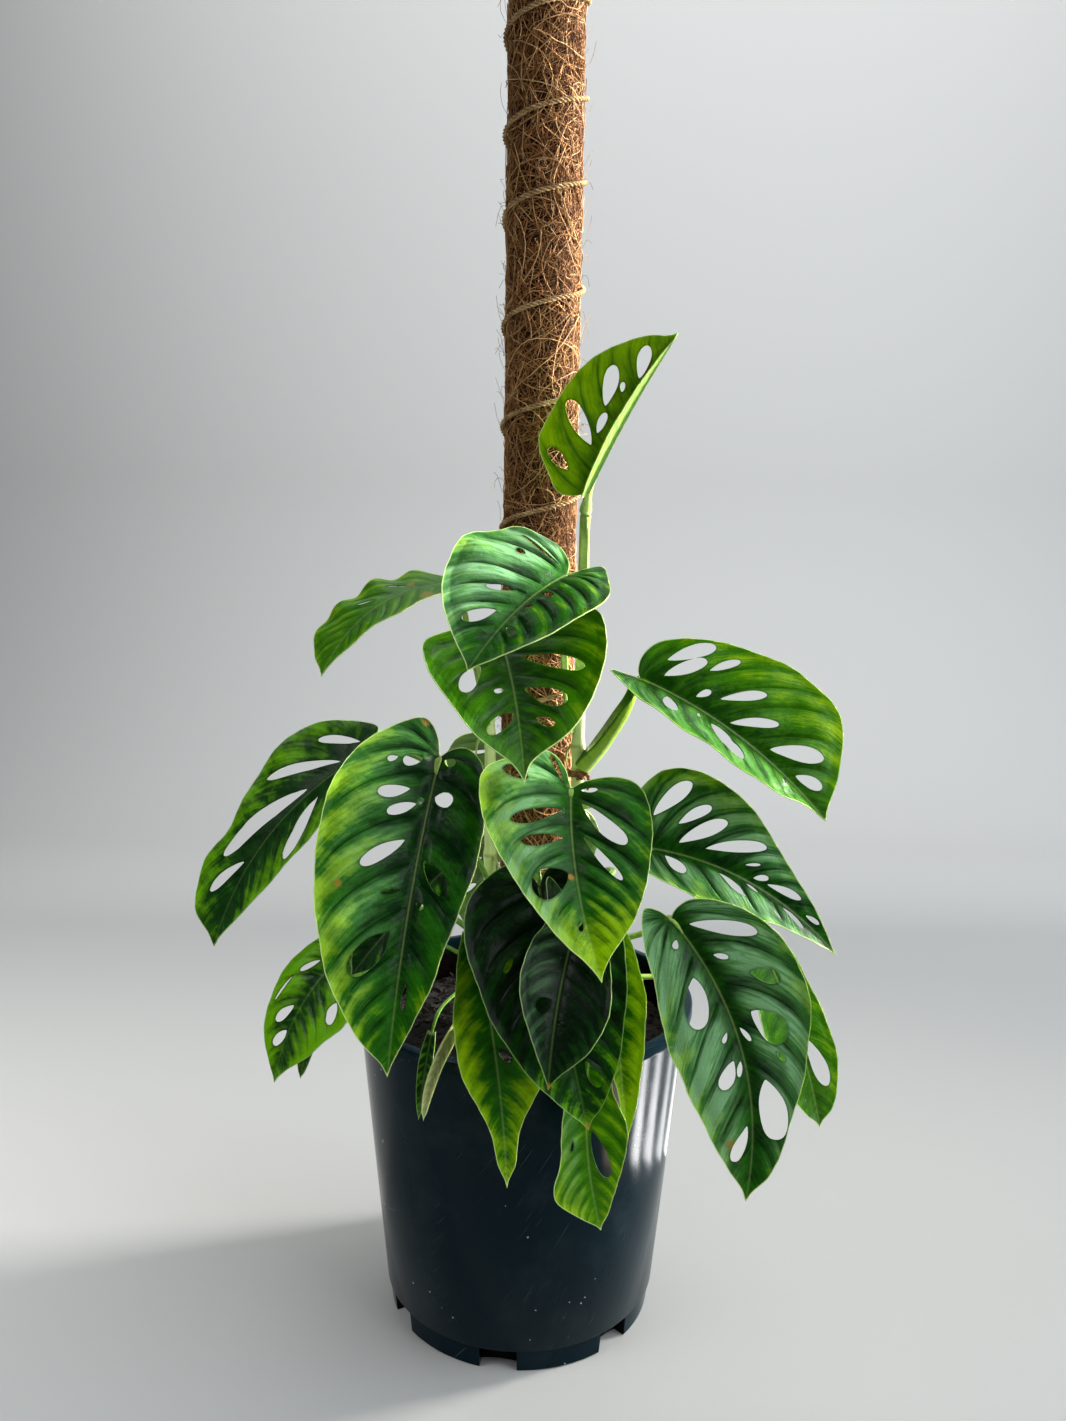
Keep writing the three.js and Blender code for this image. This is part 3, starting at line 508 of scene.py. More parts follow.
@dataclass(frozen=True)
class PotFinish:
    """Injection-moulded polypropylene: blue-black, semi-gloss, dusty and finely scuffed, its inside painted
    near-black as shade.
    """

    name: str
    body: str
    dust: str
    inside_shade: str
    haze_mm: float = 38.0
    rare_mm: float = 14.0
    speck_mm: float = 6.0
    scratch_mm: tuple[float, float] = (0.5, 34.0)
    roughness: float = 0.14

    def build(self) -> Material:
        """Makes the material: a near-black body with pale specks and faint scuffs, and painted shade inside.
        """
        material, tree, shader = new_material(self.name)
        place = add_node(tree, "ShaderNodeTexCoord").outputs["Object"]
        haze = add_node(tree, "ShaderNodeTexNoise", {
            "Vector": place, "Scale": 1 / (self.haze_mm * MM), "Detail": 5.0, "Roughness": 0.65,
        })
        specks = add_node(tree, "ShaderNodeTexVoronoi", {"Vector": place, "Scale": 1 / (self.speck_mm * MM)})
        near = add_node(tree, "ShaderNodeMath", {0: specks, 1: 0.085}, operation="LESS_THAN")
        rare = add_node(tree, "ShaderNodeTexNoise", {
            "Vector": place, "Scale": 1 / (self.rare_mm * MM), "Detail": 1.0,
        })
        kept = add_node(tree, "ShaderNodeMath", {0: rare, 1: 0.6}, operation="GREATER_THAN")
        dots = add_node(tree, "ShaderNodeMath", {0: near, 1: kept}, operation="MULTIPLY")
        fine, long = (size * MM for size in self.scratch_mm)
        scuff_place = add_node(tree, "ShaderNodeMapping", {
            "Vector": place, "Rotation": (0.0, 0.5, 0.3), "Scale": (fine, long, long),
        }, vector_type="TEXTURE")
        scuffs = add_node(tree, "ShaderNodeTexNoise", {"Vector": scuff_place, "Scale": 1.0, "Detail": 2.0})
        scratch = add_node(tree, "ShaderNodeMapRange", {
            "Value": scuffs, "From Min": 0.7, "From Max": 0.78, "To Max": 0.2,
        })
        veil = add_node(tree, "ShaderNodeMapRange", {
            "Value": haze, "From Min": 0.5, "From Max": 0.85, "To Max": 0.03,
        })
        dusty = add_node(tree, "ShaderNodeMath", {0: dots, 1: scratch}, operation="MAXIMUM")
        cover = add_node(tree, "ShaderNodeMath", {0: dusty, 1: veil}, operation="MAXIMUM")
        colour = add_node(tree, "ShaderNodeMix", {
            0: cover, 6: linear(self.body), 7: linear(self.dust),
        }, data_type="RGBA")
        # Painted shade: the pot's inside is painted near-black, standing in for the shadow that the leaves
        # cast into it.
        inside = add_node(tree, "ShaderNodeAttribute", attribute_name="inside").outputs["Fac"]
        shaded_inside = add_node(tree, "ShaderNodeMix", {
            0: inside, 6: colour, 7: linear(self.inside_shade),
        }, data_type="RGBA")
        gloss = add_node(tree, "ShaderNodeMath", {
            0: haze, 1: 0.16, 2: self.roughness - 0.06,
        }, operation="MULTIPLY_ADD")
        bump = add_node(tree, "ShaderNodeBump", {"Height": haze, "Strength": 0.25, "Distance": 0.5 * MM})
        feed(tree, shader, {
            "Base Color": shaded_inside, "Roughness": gloss, "Normal": bump, "IOR": 1.49,
            "Specular IOR Level": 0.06,
        })
        return material


@dataclass(frozen=True)
class GritFinish:
    """Crumbly or sawn matter, such as damp potting mix, bark chips and bare wood."""

    name: str
    dark: str
    pale: str
    grain_mm: tuple[float, float, float]
    roughness: float = 0.9

    def build(self) -> Material:
        """Makes the material: two colours broken up by a coarse and a fine noise."""
        material, tree, shader = new_material(self.name)
        place = add_node(tree, "ShaderNodeTexCoord").outputs["Object"]
        stretch = tuple(1 / (size * MM) for size in self.grain_mm)
        grains = add_node(tree, "ShaderNodeMapping", {"Vector": place, "Scale": stretch})
        grit = add_node(tree, "ShaderNodeTexNoise", {
            "Vector": grains, "Scale": 1.0, "Detail": 6.0, "Roughness": 0.7,
        })
        share = add_node(tree, "ShaderNodeMapRange", {"Value": grit, "From Min": 0.35, "From Max": 0.7})
        colour = add_node(tree, "ShaderNodeMix", {
            0: share, 6: linear(self.dark), 7: linear(self.pale),
        }, data_type="RGBA")
        bump = add_node(tree, "ShaderNodeBump", {"Height": grit, "Strength": 0.9, "Distance": 0.8 * MM})
        feed(tree, shader, {
            "Base Color": colour, "Normal": bump, "Roughness": self.roughness, "Specular IOR Level": 0.3,
        })
        return material


LEAF_FINISHES = {
    Slot.LIME: LeafFinish("young_leaf_waxed", "#103A00", "#3A7400", "#8CB200", "#204E00", mottle=0.1),
    Slot.GREEN: LeafFinish("grown_leaf_waxed", "#042606", "#1E5C02", "#86B000", "#0A2E06", mottle=0.13),
    Slot.DARK: LeafFinish("old_leaf_waxed", "#031604", "#0E3A06", "#62A000", "#051C03", margin="#86A85E"),
    Slot.WITHERED: LeafFinish(
        "withered_leaf_dried", "#4E5A2C", "#9AA66A", "#D2CF9C", "#8A8A56", under="#B9B888",
        roughness=0.6, coat=0.0,
    ),
}
STEM_FINISH = StemFinish("vine_stem_satin", "#DCEBA0", "#80AC40", "#9C9A58")
# The matting under the loose fibres is painted much darker than they are, as painted shade in the gaps
# between them.
COIR_GAP_SHADE_FINISH = FibreFinish("coir_matted_gap_shade", "#120904", "#33200F", "#6B4524", 16.0, 1.6)
COIR_FIBRE_FINISH = FibreFinish("coir_fibre_loose", "#3F2411", "#94602F", "#DDB27A", 9.0, 3.0, 0.62, 0.8)
JUTE_FINISH = FibreFinish("jute_twisted", "#6E5232", "#AD8A5C", "#D6B98A", 9.0, 0.9, 0.85)
COIR_CORD_FINISH = FibreFinish("coir_cord_spun", "#3A2212", "#7D5230", "#B08350", 6.0, 1.2)
POT_FINISH = PotFinish("polypropylene_moulded", "#05181F", "#9AAAB0", "#060403")
# The potting mix and the bark chips are painted near-black: dark damp matter, darkened further as painted
# shade under the leaves.
SHADED_SOIL_FINISH = GritFinish("potting_mix_damp_shaded", "#030202", "#0F0A07", (3.0, 3.0, 3.0))
SHADED_CHIP_FINISH = GritFinish("bark_chip_split_shaded", "#080504", "#1E140C", (1.2, 1.2, 4.0))
WOOD_FINISH = GritFinish("softwood_turned", "#8A6238", "#C49A62", (1.5, 1.5, 30.0), 0.6)


# Leaves

Hole = tuple[float, float, float, float, float]

SHARES = (0.0, 0.15, 0.35, 0.55, 0.75, 0.9)
BLADE_THICKNESS = 0.55
LEFT = 1
RIGHT = -1


@dataclass(frozen=True)
class Half:
    """One half of a blade, in millimetres and degrees.

    A lobe is its reach behind the joint and out; widths stand at set shares of the
    length; a hole is share, across, share, across, width, from its end near the rib.
    """

    lobe: tuple[float, float]
    widths: tuple[float, ...]
    fold: float = 0.0
    bend: float = 0.0
    wave: float = 0.0
    waves: float = 2.0
    holes: tuple[Hole, ...] = ()

    @property
    def width(self) -> float:
        """The widest station."""
        return max(self.widths)


@dataclass(frozen=True)
class ToneAndShade:
    """How light each part of a leaf is painted, from 0 deep to 1 lime: at the rib, in each half, at the tip.

    This is partly the flesh's own tone and partly painted light and shade: halves turned from the light and
    leaves shaded by others are painted deeper, and leaves lit through from behind are painted lime. The
    painted sheen is how much pale sheen is painted on each half, most of it near the joint.
    """

    rib: float = 0.3
    left: float = 0.55
    right: float = 0.45
    tip: float = 0.1
    painted_sheen_left: float = 0.0
    painted_sheen_right: float = 0.0


@dataclass(frozen=True)
class Mark:
    """A scar or a yellowed spot: share of the length, distance across, radius, strength."""

    share: float
    across: float
    radius: float
    strength: float = 1.0


@dataclass(frozen=True)
class Leaf:
    """One leaf: its joint, its tip, the way its upper face looks, its halves and stalk."""

    name: str
    slot: Slot
    joint: Place
    tip: Place
    face: Place
    bow: float
    sway: float
    left: Half
    right: Half
    stalk_radius: float
    stalk: tuple[Place, ...]
    tone_and_shade: ToneAndShade = ToneAndShade()
    marks: tuple[Mark, ...] = ()
    sheath: float = 0.0
    taper: float = 0.42
    relief: float = 1.0


def outline_of(half: Half, length: float, spacing: float) -> Array:
    """Draws one half's outline, from the notch at the joint round the lobe to the tip.

    Args:
        half: the blade half.
        length: the rib's length in millimetres.
        spacing: about how far apart the points are.

    Returns:
        Pairs along and across, both in millimetres.
    """
    back, out = half.lobe
    stations = [[share * length, width] for share, width in zip(SHARES, half.widths)]
    drip = [0.965 * length, 0.24 * half.widths[-1]]
    corners = [[0, 0], [-0.6 * back, 0.3 * out], [-back, out], *stations, drip, [length, 0]]
    line = smooth_line(np.array(corners, dtype=float), spacing)
    line[:, 1] = np.maximum(line[:, 1], 0)
    ripple = 0.1 * np.sin(line[:, 0] * 0.7 + half.width) + 0.25 * np.sin(line[:, 0] * 0.23)
    line[:, 1] += ripple * ease(line[:, 1], 3, 9)
    return line


def hole_of(hole: Hole, length: float, spacing: float) -> Array:
    """Draws a hole: pointed at its end near the rib and round at its outer end.

    Args:
        hole: the hole's two ends and its width.
        length: the rib's length in millimetres.
        spacing: about how far apart the points are.

    Returns:
        Pairs along and across, both in millimetres.
    """
    from_share, inner, to_share, outer, width = hole
    start = np.array([from_share * length, inner])
    stop = np.array([to_share * length, outer])
    reach = float(np.linalg.norm(stop - start)) / 2
    axis = (stop - start) / (2 * reach)
    side = np.array([-axis[1], axis[0]])
    count = max(14, round(4 * reach / spacing))
    angles = (np.arange(count) + 0.5) * TAU / count
    along = reach * np.cos(angles)
    point = 1 + 0.45 * (1 - np.cos(angles)) / 2
    swell = np.sign(np.sin(angles)) * np.abs(np.sin(angles)) ** point
    swell *= (width / 2) * (1 + 0.3 * np.cos(angles)) * (1.04 + 0.05 * np.sin(3 * angles + inner))
    return (start + stop) / 2 + np.outer(along, axis) + np.outer(swell, side)


def is_inside(points: Array, outline: Array) -> Array:
    """Tells which points lie inside a closed outline."""
    odd = np.zeros(len(points), dtype=bool)
    x, y = points[:, 0], points[:, 1]
    for a, b in zip(outline, np.roll(outline, -1, axis=0)):
        if a[1] != b[1]:
            crosses = (a[1] > y) != (b[1] > y)
            odd ^= crosses & (x < (b[0] - a[0]) * (y - a[1]) / (b[1] - a[1]) + a[0])
    return odd


def clearance(points: Array, outline: Array) -> Array:
    """Measures the shortest distance from each point to a closed outline."""
    least = np.full(len(points), 1e9)
    for a, b in zip(outline, np.roll(outline, -1, axis=0)):
        side = b - a
        share = np.clip(((points - a) @ side) / max(float(side @ side), 1e-9), 0, 1)
        least = np.minimum(least, np.linalg.norm(points - a - share[:, None] * side, axis=1))
    return least


def fill_rims(rims: list[Array], free: Array) -> tuple[Array, Array]:
    """Fills a border with triangles and leaves its holes open.

    Args:
        rims: the border's outline and then the holes'.
        free: the points between them.

    Returns:
        The points in use and the triangles, which all face up.
    """
    edges = []
    start = 0
    for rim in rims:
        count = len(rim)
        edges += [(start + k, start + (k + 1) % count) for k in range(count)]
        start += count
    found = delaunay_2d_cdt([Vector(p) for p in np.vstack([*rims, free])], edges, [], 0, 1e-4)
    flat = np.array([[p.x, p.y] for p in found[0]])
    corners = np.array([face for face in found[2] if len(face) == 3])
    centres = flat[corners].mean(axis=1)
    keep = is_inside(centres, rims[0])
    for hole in rims[1:]:
        keep &= ~is_inside(centres, hole)
    corners = corners[keep]
    a, b, c = (flat[corners[:, k]] for k in range(3))
    area = (b[:, 0] - a[:, 0]) * (c[:, 1] - a[:, 1]) - (b[:, 1] - a[:, 1]) * (c[:, 0] - a[:, 0])
    corners = corners[np.abs(area) > 1e-4]
    area = area[np.abs(area) > 1e-4]
    corners[area > 0] = corners[area > 0][:, [0, 2, 1]]
    used = np.unique(corners)
    renumber = np.full(len(flat), -1)
    renumber[used] = np.arange(len(used))
    return flat[used], renumber[corners]


def close_skins(corners: Array, count: int) -> Faces:
    """Joins an upper and a lower skin along their open edges.

    Args:
        corners: the triangles of one skin.
        count: the points of one skin.

    Returns:
        The faces of the closed body.
    """
    pairs = np.vstack([corners[:, [0, 1]], corners[:, [1, 2]], corners[:, [2, 0]]])
    keys = pairs.min(axis=1) * count + pairs.max(axis=1)
    _, first, times = np.unique(keys, return_index=True, return_counts=True)
    faces = [tuple(t) for t in corners]
    faces += [tuple(t) for t in corners[:, ::-1] + count]
    faces += [(b, a, a + count, b + count) for a, b in pairs[first[times == 1]]]
    return faces


class SideVeins:
    """The side veins of one blade half: they lean to the tip and run on along the margin."""

    fan = 0.22
    spacing = 0.115
    sweep = 0.4

    def __init__(self, half: Half, length: float) -> None:
        """Settles how far the veins lean and where each one leaves the rib.

        Args:
            half: the blade half.
            length: the rib's length in millimetres.
        """
        self.length = length
        self.width = half.width
        self.stations = np.array([-0.2, *SHARES, 1.0]) * length
        self.reaches = np.array([half.widths[0] * 0.8, *half.widths, 3.0])
        long_holes = [h for h in half.holes if h[3] - h[1] > 6 and h[0] > 0.02]
        leans = [0.8 * (h[2] - h[0]) * length / (h[3] - h[1]) for h in long_holes]
        shares = [(h[0] + h[2]) / 2 for h in long_holes]
        guide_shares = np.array([0.05, 0.4, 0.8, *shares])
        guide_leans = np.array([0.2, 0.5, 0.9, *leans])
        growth, self.lean = np.polyfit(guide_shares, guide_leans, 1)
        self.growth = max(float(growth), 0.2)
        self.lean = max(float(self.lean), 0.05)
        middles = np.array([[(h[0] + h[2]) * length / 2, (h[1] + h[3]) / 2] for h in half.holes])
        lanes = sorted(self.lane(middles[:, 0], middles[:, 1])) if len(middles) else []
        self.starts = self.between([float(lane) for lane in lanes])

    def swept(self, along: Array, across: Array) -> Array:
        """Tells how far a vein has swung to the tip by a point, in millimetres."""
        reach = np.interp(along, self.stations, self.reaches)
        return self.sweep * reach * np.minimum(across / reach, 1.15) ** 3

    def lane(self, along: Array, across: Array) -> Array:
        """Finds the share of the rib at which the vein line through a point starts.

        Args:
            along: distance along the rib in millimetres.
            across: distance from the rib in millimetres, never negative.

        Returns:
            The share, below zero for the lines that fan out into the lobe.
        """
        level = along - self.swept(along, across)
        share = (level - self.lean * across) / (self.length + self.growth * across)
        turn = np.arctan2(across, level) - math.atan2(1, self.lean)
        return np.where(share >= 0, share, -np.maximum(turn, 0) * self.fan)

    def between(self, lanes: list[float]) -> Array:
        """Places veins halfway between the holes' lanes, and evenly where there are none."""
        merged: list[float] = []
        for lane in lanes:
            if not merged or lane - merged[-1] > 0.06:
                merged.append(lane)
        starts = [(a + b) / 2 for a, b in zip(merged, merged[1:])]
        if merged:
            starts = [merged[0] - self.spacing / 2, *starts, merged[-1] + self.spacing / 2]
        else:
            starts = [0.06]
        filled = [starts[0]]
        for start in starts[1:]:
            steps = max(1, round((start - filled[-1]) / (1.25 * self.spacing)))
            gap = (start - filled[-1]) / steps
            filled += [filled[-1] + gap * (k + 1) for k in range(steps)]
        while filled[0] > -0.42:
            filled.insert(0, filled[0] - self.spacing)
        while filled[-1] < 0.86:
            filled.append(filled[-1] + self.spacing * (1 - 0.35 * filled[-1]))
        return np.array(filled)

    def panel(self, along: Array, across: Array) -> tuple[Array, Array, Array]:
        """Places points between their two nearest veins.

        Args:
            along: distance along the rib in millimetres.
            across: distance from the rib in millimetres, never negative.

        Returns:
            The distance to the nearest vein and the panel's width, both in
            millimetres, and the share of the way across the panel.
        """
        lane = self.lane(along, across)
        step = 0.3
        ahead = (self.lane(along + step, across) - lane) / step
        beside = (self.lane(along, across + step) - lane) / step
        stretch = 1 / np.maximum(np.hypot(ahead, beside), 0.1 / self.length)
        upper = np.clip(np.searchsorted(self.starts, lane), 1, len(self.starts) - 1)
        low, high = self.starts[upper - 1], self.starts[upper]
        share = np.clip((lane - low) / (high - low), 0, 1)
        width = (high - low) * stretch
        return np.minimum(share, 1 - share) * width, width, share

    def paths(self, spacing: float) -> Array:
        """Gives points along every vein, and along both shoulders of its furrow."""
        rows = []
        across = np.arange(1.2, self.width + 1, spacing)
        for start in self.starts:
            turn = math.atan2(1, self.lean) - min(start, 0) / self.fan
            if turn > 2.9:
                continue
            straight = start * self.length + (self.lean + self.growth * start) * across
            if start < 0:
                straight = across / math.tan(turn)
            along = straight
            for _ in range(12):
                along = straight + self.swept(along, across)
            line = np.column_stack([along, across])
            ahead = unit(np.gradient(line, axis=0))
            normal = np.column_stack([-ahead[:, 1], ahead[:, 0]])
            rows += [line, line + 0.85 * normal, line - 0.85 * normal]
        return np.vstack(rows)


@dataclass(frozen=True)
class Spots:
    """The points of a blade's net and what lies near each, in millimetres.

    The distances run to the rib, to the nearest rim, to the margin, to the nearest hole
    and to the nearest vein. The shares run along the rib and across the panel between
    two veins. Out grows from the rib, fade falls at the margin, seam peaks along the hem.
    """

    along: Array
    across: Array
    distance: Array
    rib_share: Array
    edge: Array
    margin: Array
    hole: Array
    vein: Array
    panel: Array
    share: Array
    lane: Array
    out: Array
    fade: Array
    seam: Array


class Blade:
    """The blade of one leaf as a thin closed body with quilted flesh and sunken veins."""

    furrow = 0.45
    quilt = 0.1
    hem = 0.085
    rib_rows = (0.0, 0.75, 1.6, 2.8)
    stalk_sides = 14

    def __init__(self, leaf: Leaf, number: int) -> None:
        """Settles the middle line of the blade.

        Args:
            leaf: the leaf's sizes.
            number: its place in the list, which shifts its mottling.
        """
        self.leaf = leaf
        self.number = number
        self.joint = np.array(leaf.joint, dtype=float)
        self.tip = np.array(leaf.tip, dtype=float)
        along = self.tip - self.joint
        self.length = float(np.linalg.norm(along))
        along = along / self.length
        face = np.array(leaf.face, dtype=float)
        self.up = unit(face - along * (face @ along))
        side = np.cross(along, self.up)
        self.pull = (self.joint + self.tip) / 2 + 2 * leaf.bow * self.up + 2 * leaf.sway * side
        self.spacing = float(np.clip(self.length / 95, 0.8, 1.45))
        self.size = leaf.relief * min(1.0, max(leaf.left.width, leaf.right.width) / 40)
        self.veins = {LEFT: SideVeins(leaf.left, self.length), RIGHT: SideVeins(leaf.right, self.length)}

    def rib_at(self, share: Array) -> tuple[Array, Array, Array, Array]:
        """Gives place, direction, side and normal of the middle line.

        Args:
            share: shares of the length, below zero behind the joint.

        Returns:
            Four arrays of vectors.
        """
        t = np.maximum(share, 0)[:, None]
        place = self.joint * (1 - t) ** 2 + self.pull * 2 * t * (1 - t) + self.tip * t * t
        ahead = (self.pull - self.joint) * 2 * (1 - t) + (self.tip - self.pull) * 2 * t
        place = place + ahead * np.minimum(share, 0)[:, None]
        ahead = unit(ahead)
        normal = unit(self.up - ahead * (ahead @ self.up)[:, None])
        return place, ahead, np.cross(ahead, normal), normal

    def middle(self, along: Array, across: Array) -> Array:
        """Places points of the blade's smooth middle surface, in millimetres."""
        share = along / self.length
        left, right = self.leaf.left, self.leaf.right
        on_left = across >= 0
        fold = np.radians(np.where(on_left, left.fold, right.fold))
        width = np.where(on_left, left.width, right.width)
        bend = np.radians(np.where(on_left, left.bend or 0.1, right.bend or 0.1)) / width
        distance = np.abs(across)
        out = (np.sin(fold + bend * distance) - np.sin(fold)) / bend
        soft = np.sqrt(distance**2 + 1.5**2) - 1.5
        rise = (np.cos(fold) - np.cos(fold + bend * soft)) / bend
        height = np.where(on_left, left.wave, right.wave)
        count = np.where(on_left, left.waves, right.waves)
        reach = np.minimum(distance / width, 1) ** 2
        rise += height * np.sin(TAU * count * share) * reach
        place, _, side, normal = self.rib_at(share)
        return place + side * (np.sign(across) * out)[:, None] + normal * rise[:, None]

    def normals(self, along: Array, across: Array) -> Array:
        """Gives the upward normals of the middle surface."""
        step = 0.6
        ahead = self.middle(along + step, across) - self.middle(along - step, across)
        beside = self.middle(along, across + step) - self.middle(along, across - step)
        return unit(np.cross(beside, ahead))

    def net(self) -> tuple[Array, Array, list[Array]]:
        """Lays out the flat net of the blade.

        Returns:
            The points along and across, the triangles, and the edges' outlines.
        """
        step = self.spacing
        left = outline_of(self.leaf.left, self.length, step)
        right = outline_of(self.leaf.right, self.length, step) * [1, -1]
        border = np.vstack([left, right[-2:0:-1]])
        holes = [hole_of(h, self.length, step) for h in self.leaf.left.holes]
        holes += [hole_of(h, self.length, step) * [1, -1] for h in self.leaf.right.holes]
        rims = [border, *holes]
        rib = [
            [x, y * side]
            for x in np.arange(step, self.length, step)
            for y in self.rib_rows
            for side in (LEFT, RIGHT)
            if y > 0 or side == LEFT
        ]
        paths = [self.veins[side].paths(step) * [1, side] for side in (LEFT, RIGHT)]
        lines = np.vstack(paths)
        lines = lines[np.abs(lines[:, 1]) > self.rib_rows[-1] + 0.5]
        low, high = border.min(axis=0), border.max(axis=0)
        rows = np.arange(low[1], high[1], step * 0.87)
        grid = np.array(
            [
                [x + (0.5 * step if row % 2 else 0.0), y]
                for row, y in enumerate(rows)
                for x in np.arange(low[0], high[0], step)
            ]
        )
        grid = grid[np.abs(grid[:, 1]) > self.rib_rows[-1] + 0.5]
        away = np.zeros(len(grid), dtype=bool)
        for side in (LEFT, RIGHT):
            here = grid[:, 1] * side > 0
            distance = self.veins[side].panel(grid[here, 0], np.abs(grid[here, 1]))[0]
            away[here] = distance > 0.85 + 0.55 * step
        free = np.vstack([np.array(rib), lines, grid[away]])
        free = free[is_inside(free, border)]
        for rim in rims:
            free = free[clearance(free, rim) > 0.42 * step]
        for hole in holes:
            free = free[~is_inside(free, hole)]
        points, corners = fill_rims(rims, free)
        return points, corners, rims

    def measure(self, flat: Array, rims: list[Array]) -> Spots:
        """Measures how far each point of the net is from the blade's features.

        Args:
            flat: the points along and across.
            rims: the border's outline and then the holes'.

        Returns:
            The measured points.
        """
        along, across = flat[:, 0], flat[:, 1]
        distance = np.abs(across)
        clear = [clearance(flat, rim) for rim in rims]
        hole = np.min(clear[1:], axis=0) if len(rims) > 1 else np.full(len(flat), 99.0)
        vein, panel, share, lane = np.zeros((4, len(flat)))
        for side, here in ((LEFT, across >= 0), (RIGHT, across < 0)):
            veins = self.veins[side]
            vein[here], panel[here], share[here] = veins.panel(along[here], distance[here])
            lane[here] = veins.lane(along[here], distance[here])
        hem = self.hem * min(self.leaf.left.width, self.leaf.right.width) + 1.2
        seam = np.exp(-(((clear[0] - hem) / 0.8) ** 2))
        fade = ease(clear[0], 0.6 * hem, 2.6 * hem)
        return Spots(
            along, across, distance, np.clip(along / self.length, 0, 1), np.min(clear, axis=0),
            clear[0], hole, vein, panel, share, lane, ease(distance, 0.8, 8), fade, seam,
        )

    def relief(self, spots: Spots) -> tuple[Array, Array]:
        """Works out how far the upper and the lower face stand off the middle surface."""
        distance, out, fade = spots.distance, spots.out, spots.fade
        arch = (4 * spots.share * (1 - spots.share)) ** 0.8 * np.minimum(spots.panel, 22)
        swell = self.quilt * self.size * arch * out * fade
        dent = self.furrow * self.size * np.exp(-((spots.vein / 0.7) ** 2)) * ease(distance, 0.5, 3) * fade
        ridge = np.exp(-((distance / 0.7) ** 2))
        trough = 0.6 * np.exp(-((distance / 2.4) ** 2))
        lift = 0.35 * np.exp(-spots.edge / 1.6) * ease(distance, 3, 8)
        seam = -0.22 * spots.seam * out
        roll = 0.6 * np.sin(spots.along * 0.19 + self.number) * ease(distance, 6, 30) + seam
        upper = swell - dent - trough + 0.35 * ridge * (1 - spots.rib_share) + lift + roll
        under_rib = (1.5 * (1 - spots.rib_share) + 0.35) * np.exp(-((distance / 1.3) ** 2))
        under_vein = 0.45 * np.exp(-((spots.vein / 0.6) ** 2)) * out * fade
        lower = swell - trough + lift + roll - BLADE_THICKNESS - under_rib - under_vein
        rim_meet = ease(spots.edge, 0, 1.2)
        return upper, lower * rim_meet + (upper - BLADE_THICKNESS) * (1 - rim_meet)

    def build(self, material: Material) -> Piece:
        """Makes the blade and its stalk as one piece and dresses it.

        Args:
            material: the leaf's material.

        Returns:
            The finished piece.
        """
        flat, corners, rims = self.net()
        spots = self.measure(flat, rims)
        upper, lower = self.relief(spots)
        middle = self.middle(spots.along, spots.across)
        normal = self.normals(spots.along, spots.across)
        half = BLADE_THICKNESS / 2
        top = middle + normal * (upper + half)[:, None]
        bottom = middle + normal * (lower + half)[:, None]
        count = len(flat)
        stalk_points, stalk_faces = self.stalk()
        faces = close_skins(corners, count)
        faces += [tuple(c + 2 * count for c in face) for face in stalk_faces]
        points = np.vstack([top, bottom, stalk_points])
        piece = make_mesh(self.leaf.name + "_look", points, faces)
        self.mark(piece, spots, len(stalk_points))
        seat(piece, self.leaf.slot, material, self.leaf.name)
        return piece

    def mark(self, piece: Piece, spots: Spots, extra: int) -> None:
        """Stores the blade's marks and its two flat maps for its material to read.

        Args:
            piece: the finished mesh.
            spots: the measured points of the net.
            extra: how many points the stalk has.
        """
        count = len(spots.along)
        bare = np.zeros(extra)
        inland = np.full(extra, 9.0)
        turn = np.arange(extra) % self.stalk_sides * TAU / self.stalk_sides
        sheath = min(self.leaf.sheath, 1.0)
        # Painted shade: the stalk is painted darker along its upper channel.
        channel = ease(np.sin(turn), 0.35, 0.85) * (0.3 + 0.7 * sheath)
        tone = self.tone(spots.along, spots.across, spots.share, spots.margin)
        line = (0.15 + 0.5 * self.size) * np.exp(-((spots.vein / 0.5) ** 2)) * spots.out * spots.fade
        rib = 0.28 * np.exp(-((spots.distance / 0.45) ** 2)) * (1 - 0.6 * spots.rib_share)
        scar = self.scars(spots.along, spots.across)
        # Painted sheen: a pale colour laid where the light would be reflected, on the halves turned to it.
        painted_sheen = self.painted_sheen(spots.along, spots.across, spots.share)
        marks = {
            "tone": (tone, tone, 0.95 - 0.85 * channel),
            "vein": (line, 0.3 * line, bare),
            "edge": (spots.margin, spots.margin, inland),
            "hole": (spots.hole, spots.hole, inland),
            "rib": (rib, rib, (0.55 - 0.4 * sheath) * (1 - channel)),
            "under": (np.zeros(count), np.full(count, 0.75), bare),
            "scar": (scar, scar, bare),
            "painted_sheen": (painted_sheen, 0.3 * painted_sheen, bare),
        }
        for name, (above, below, stalk) in marks.items():
            mark_points(piece, name, np.concatenate([above, below, stalk]))
        shift = 400.0 * self.number
        blade_map = np.column_stack([spots.along + shift, spots.across])
        lane_map = np.column_stack([spots.lane * self.length + shift, spots.across])
        rings = np.arange(extra) // self.stalk_sides * 2.2
        stalk_map = np.column_stack([rings + shift, turn * self.leaf.stalk_radius])
        lay_map(piece, "blade", np.vstack([blade_map, blade_map, stalk_map]))
        lay_map(piece, "lanes", np.vstack([lane_map, lane_map, stalk_map]))

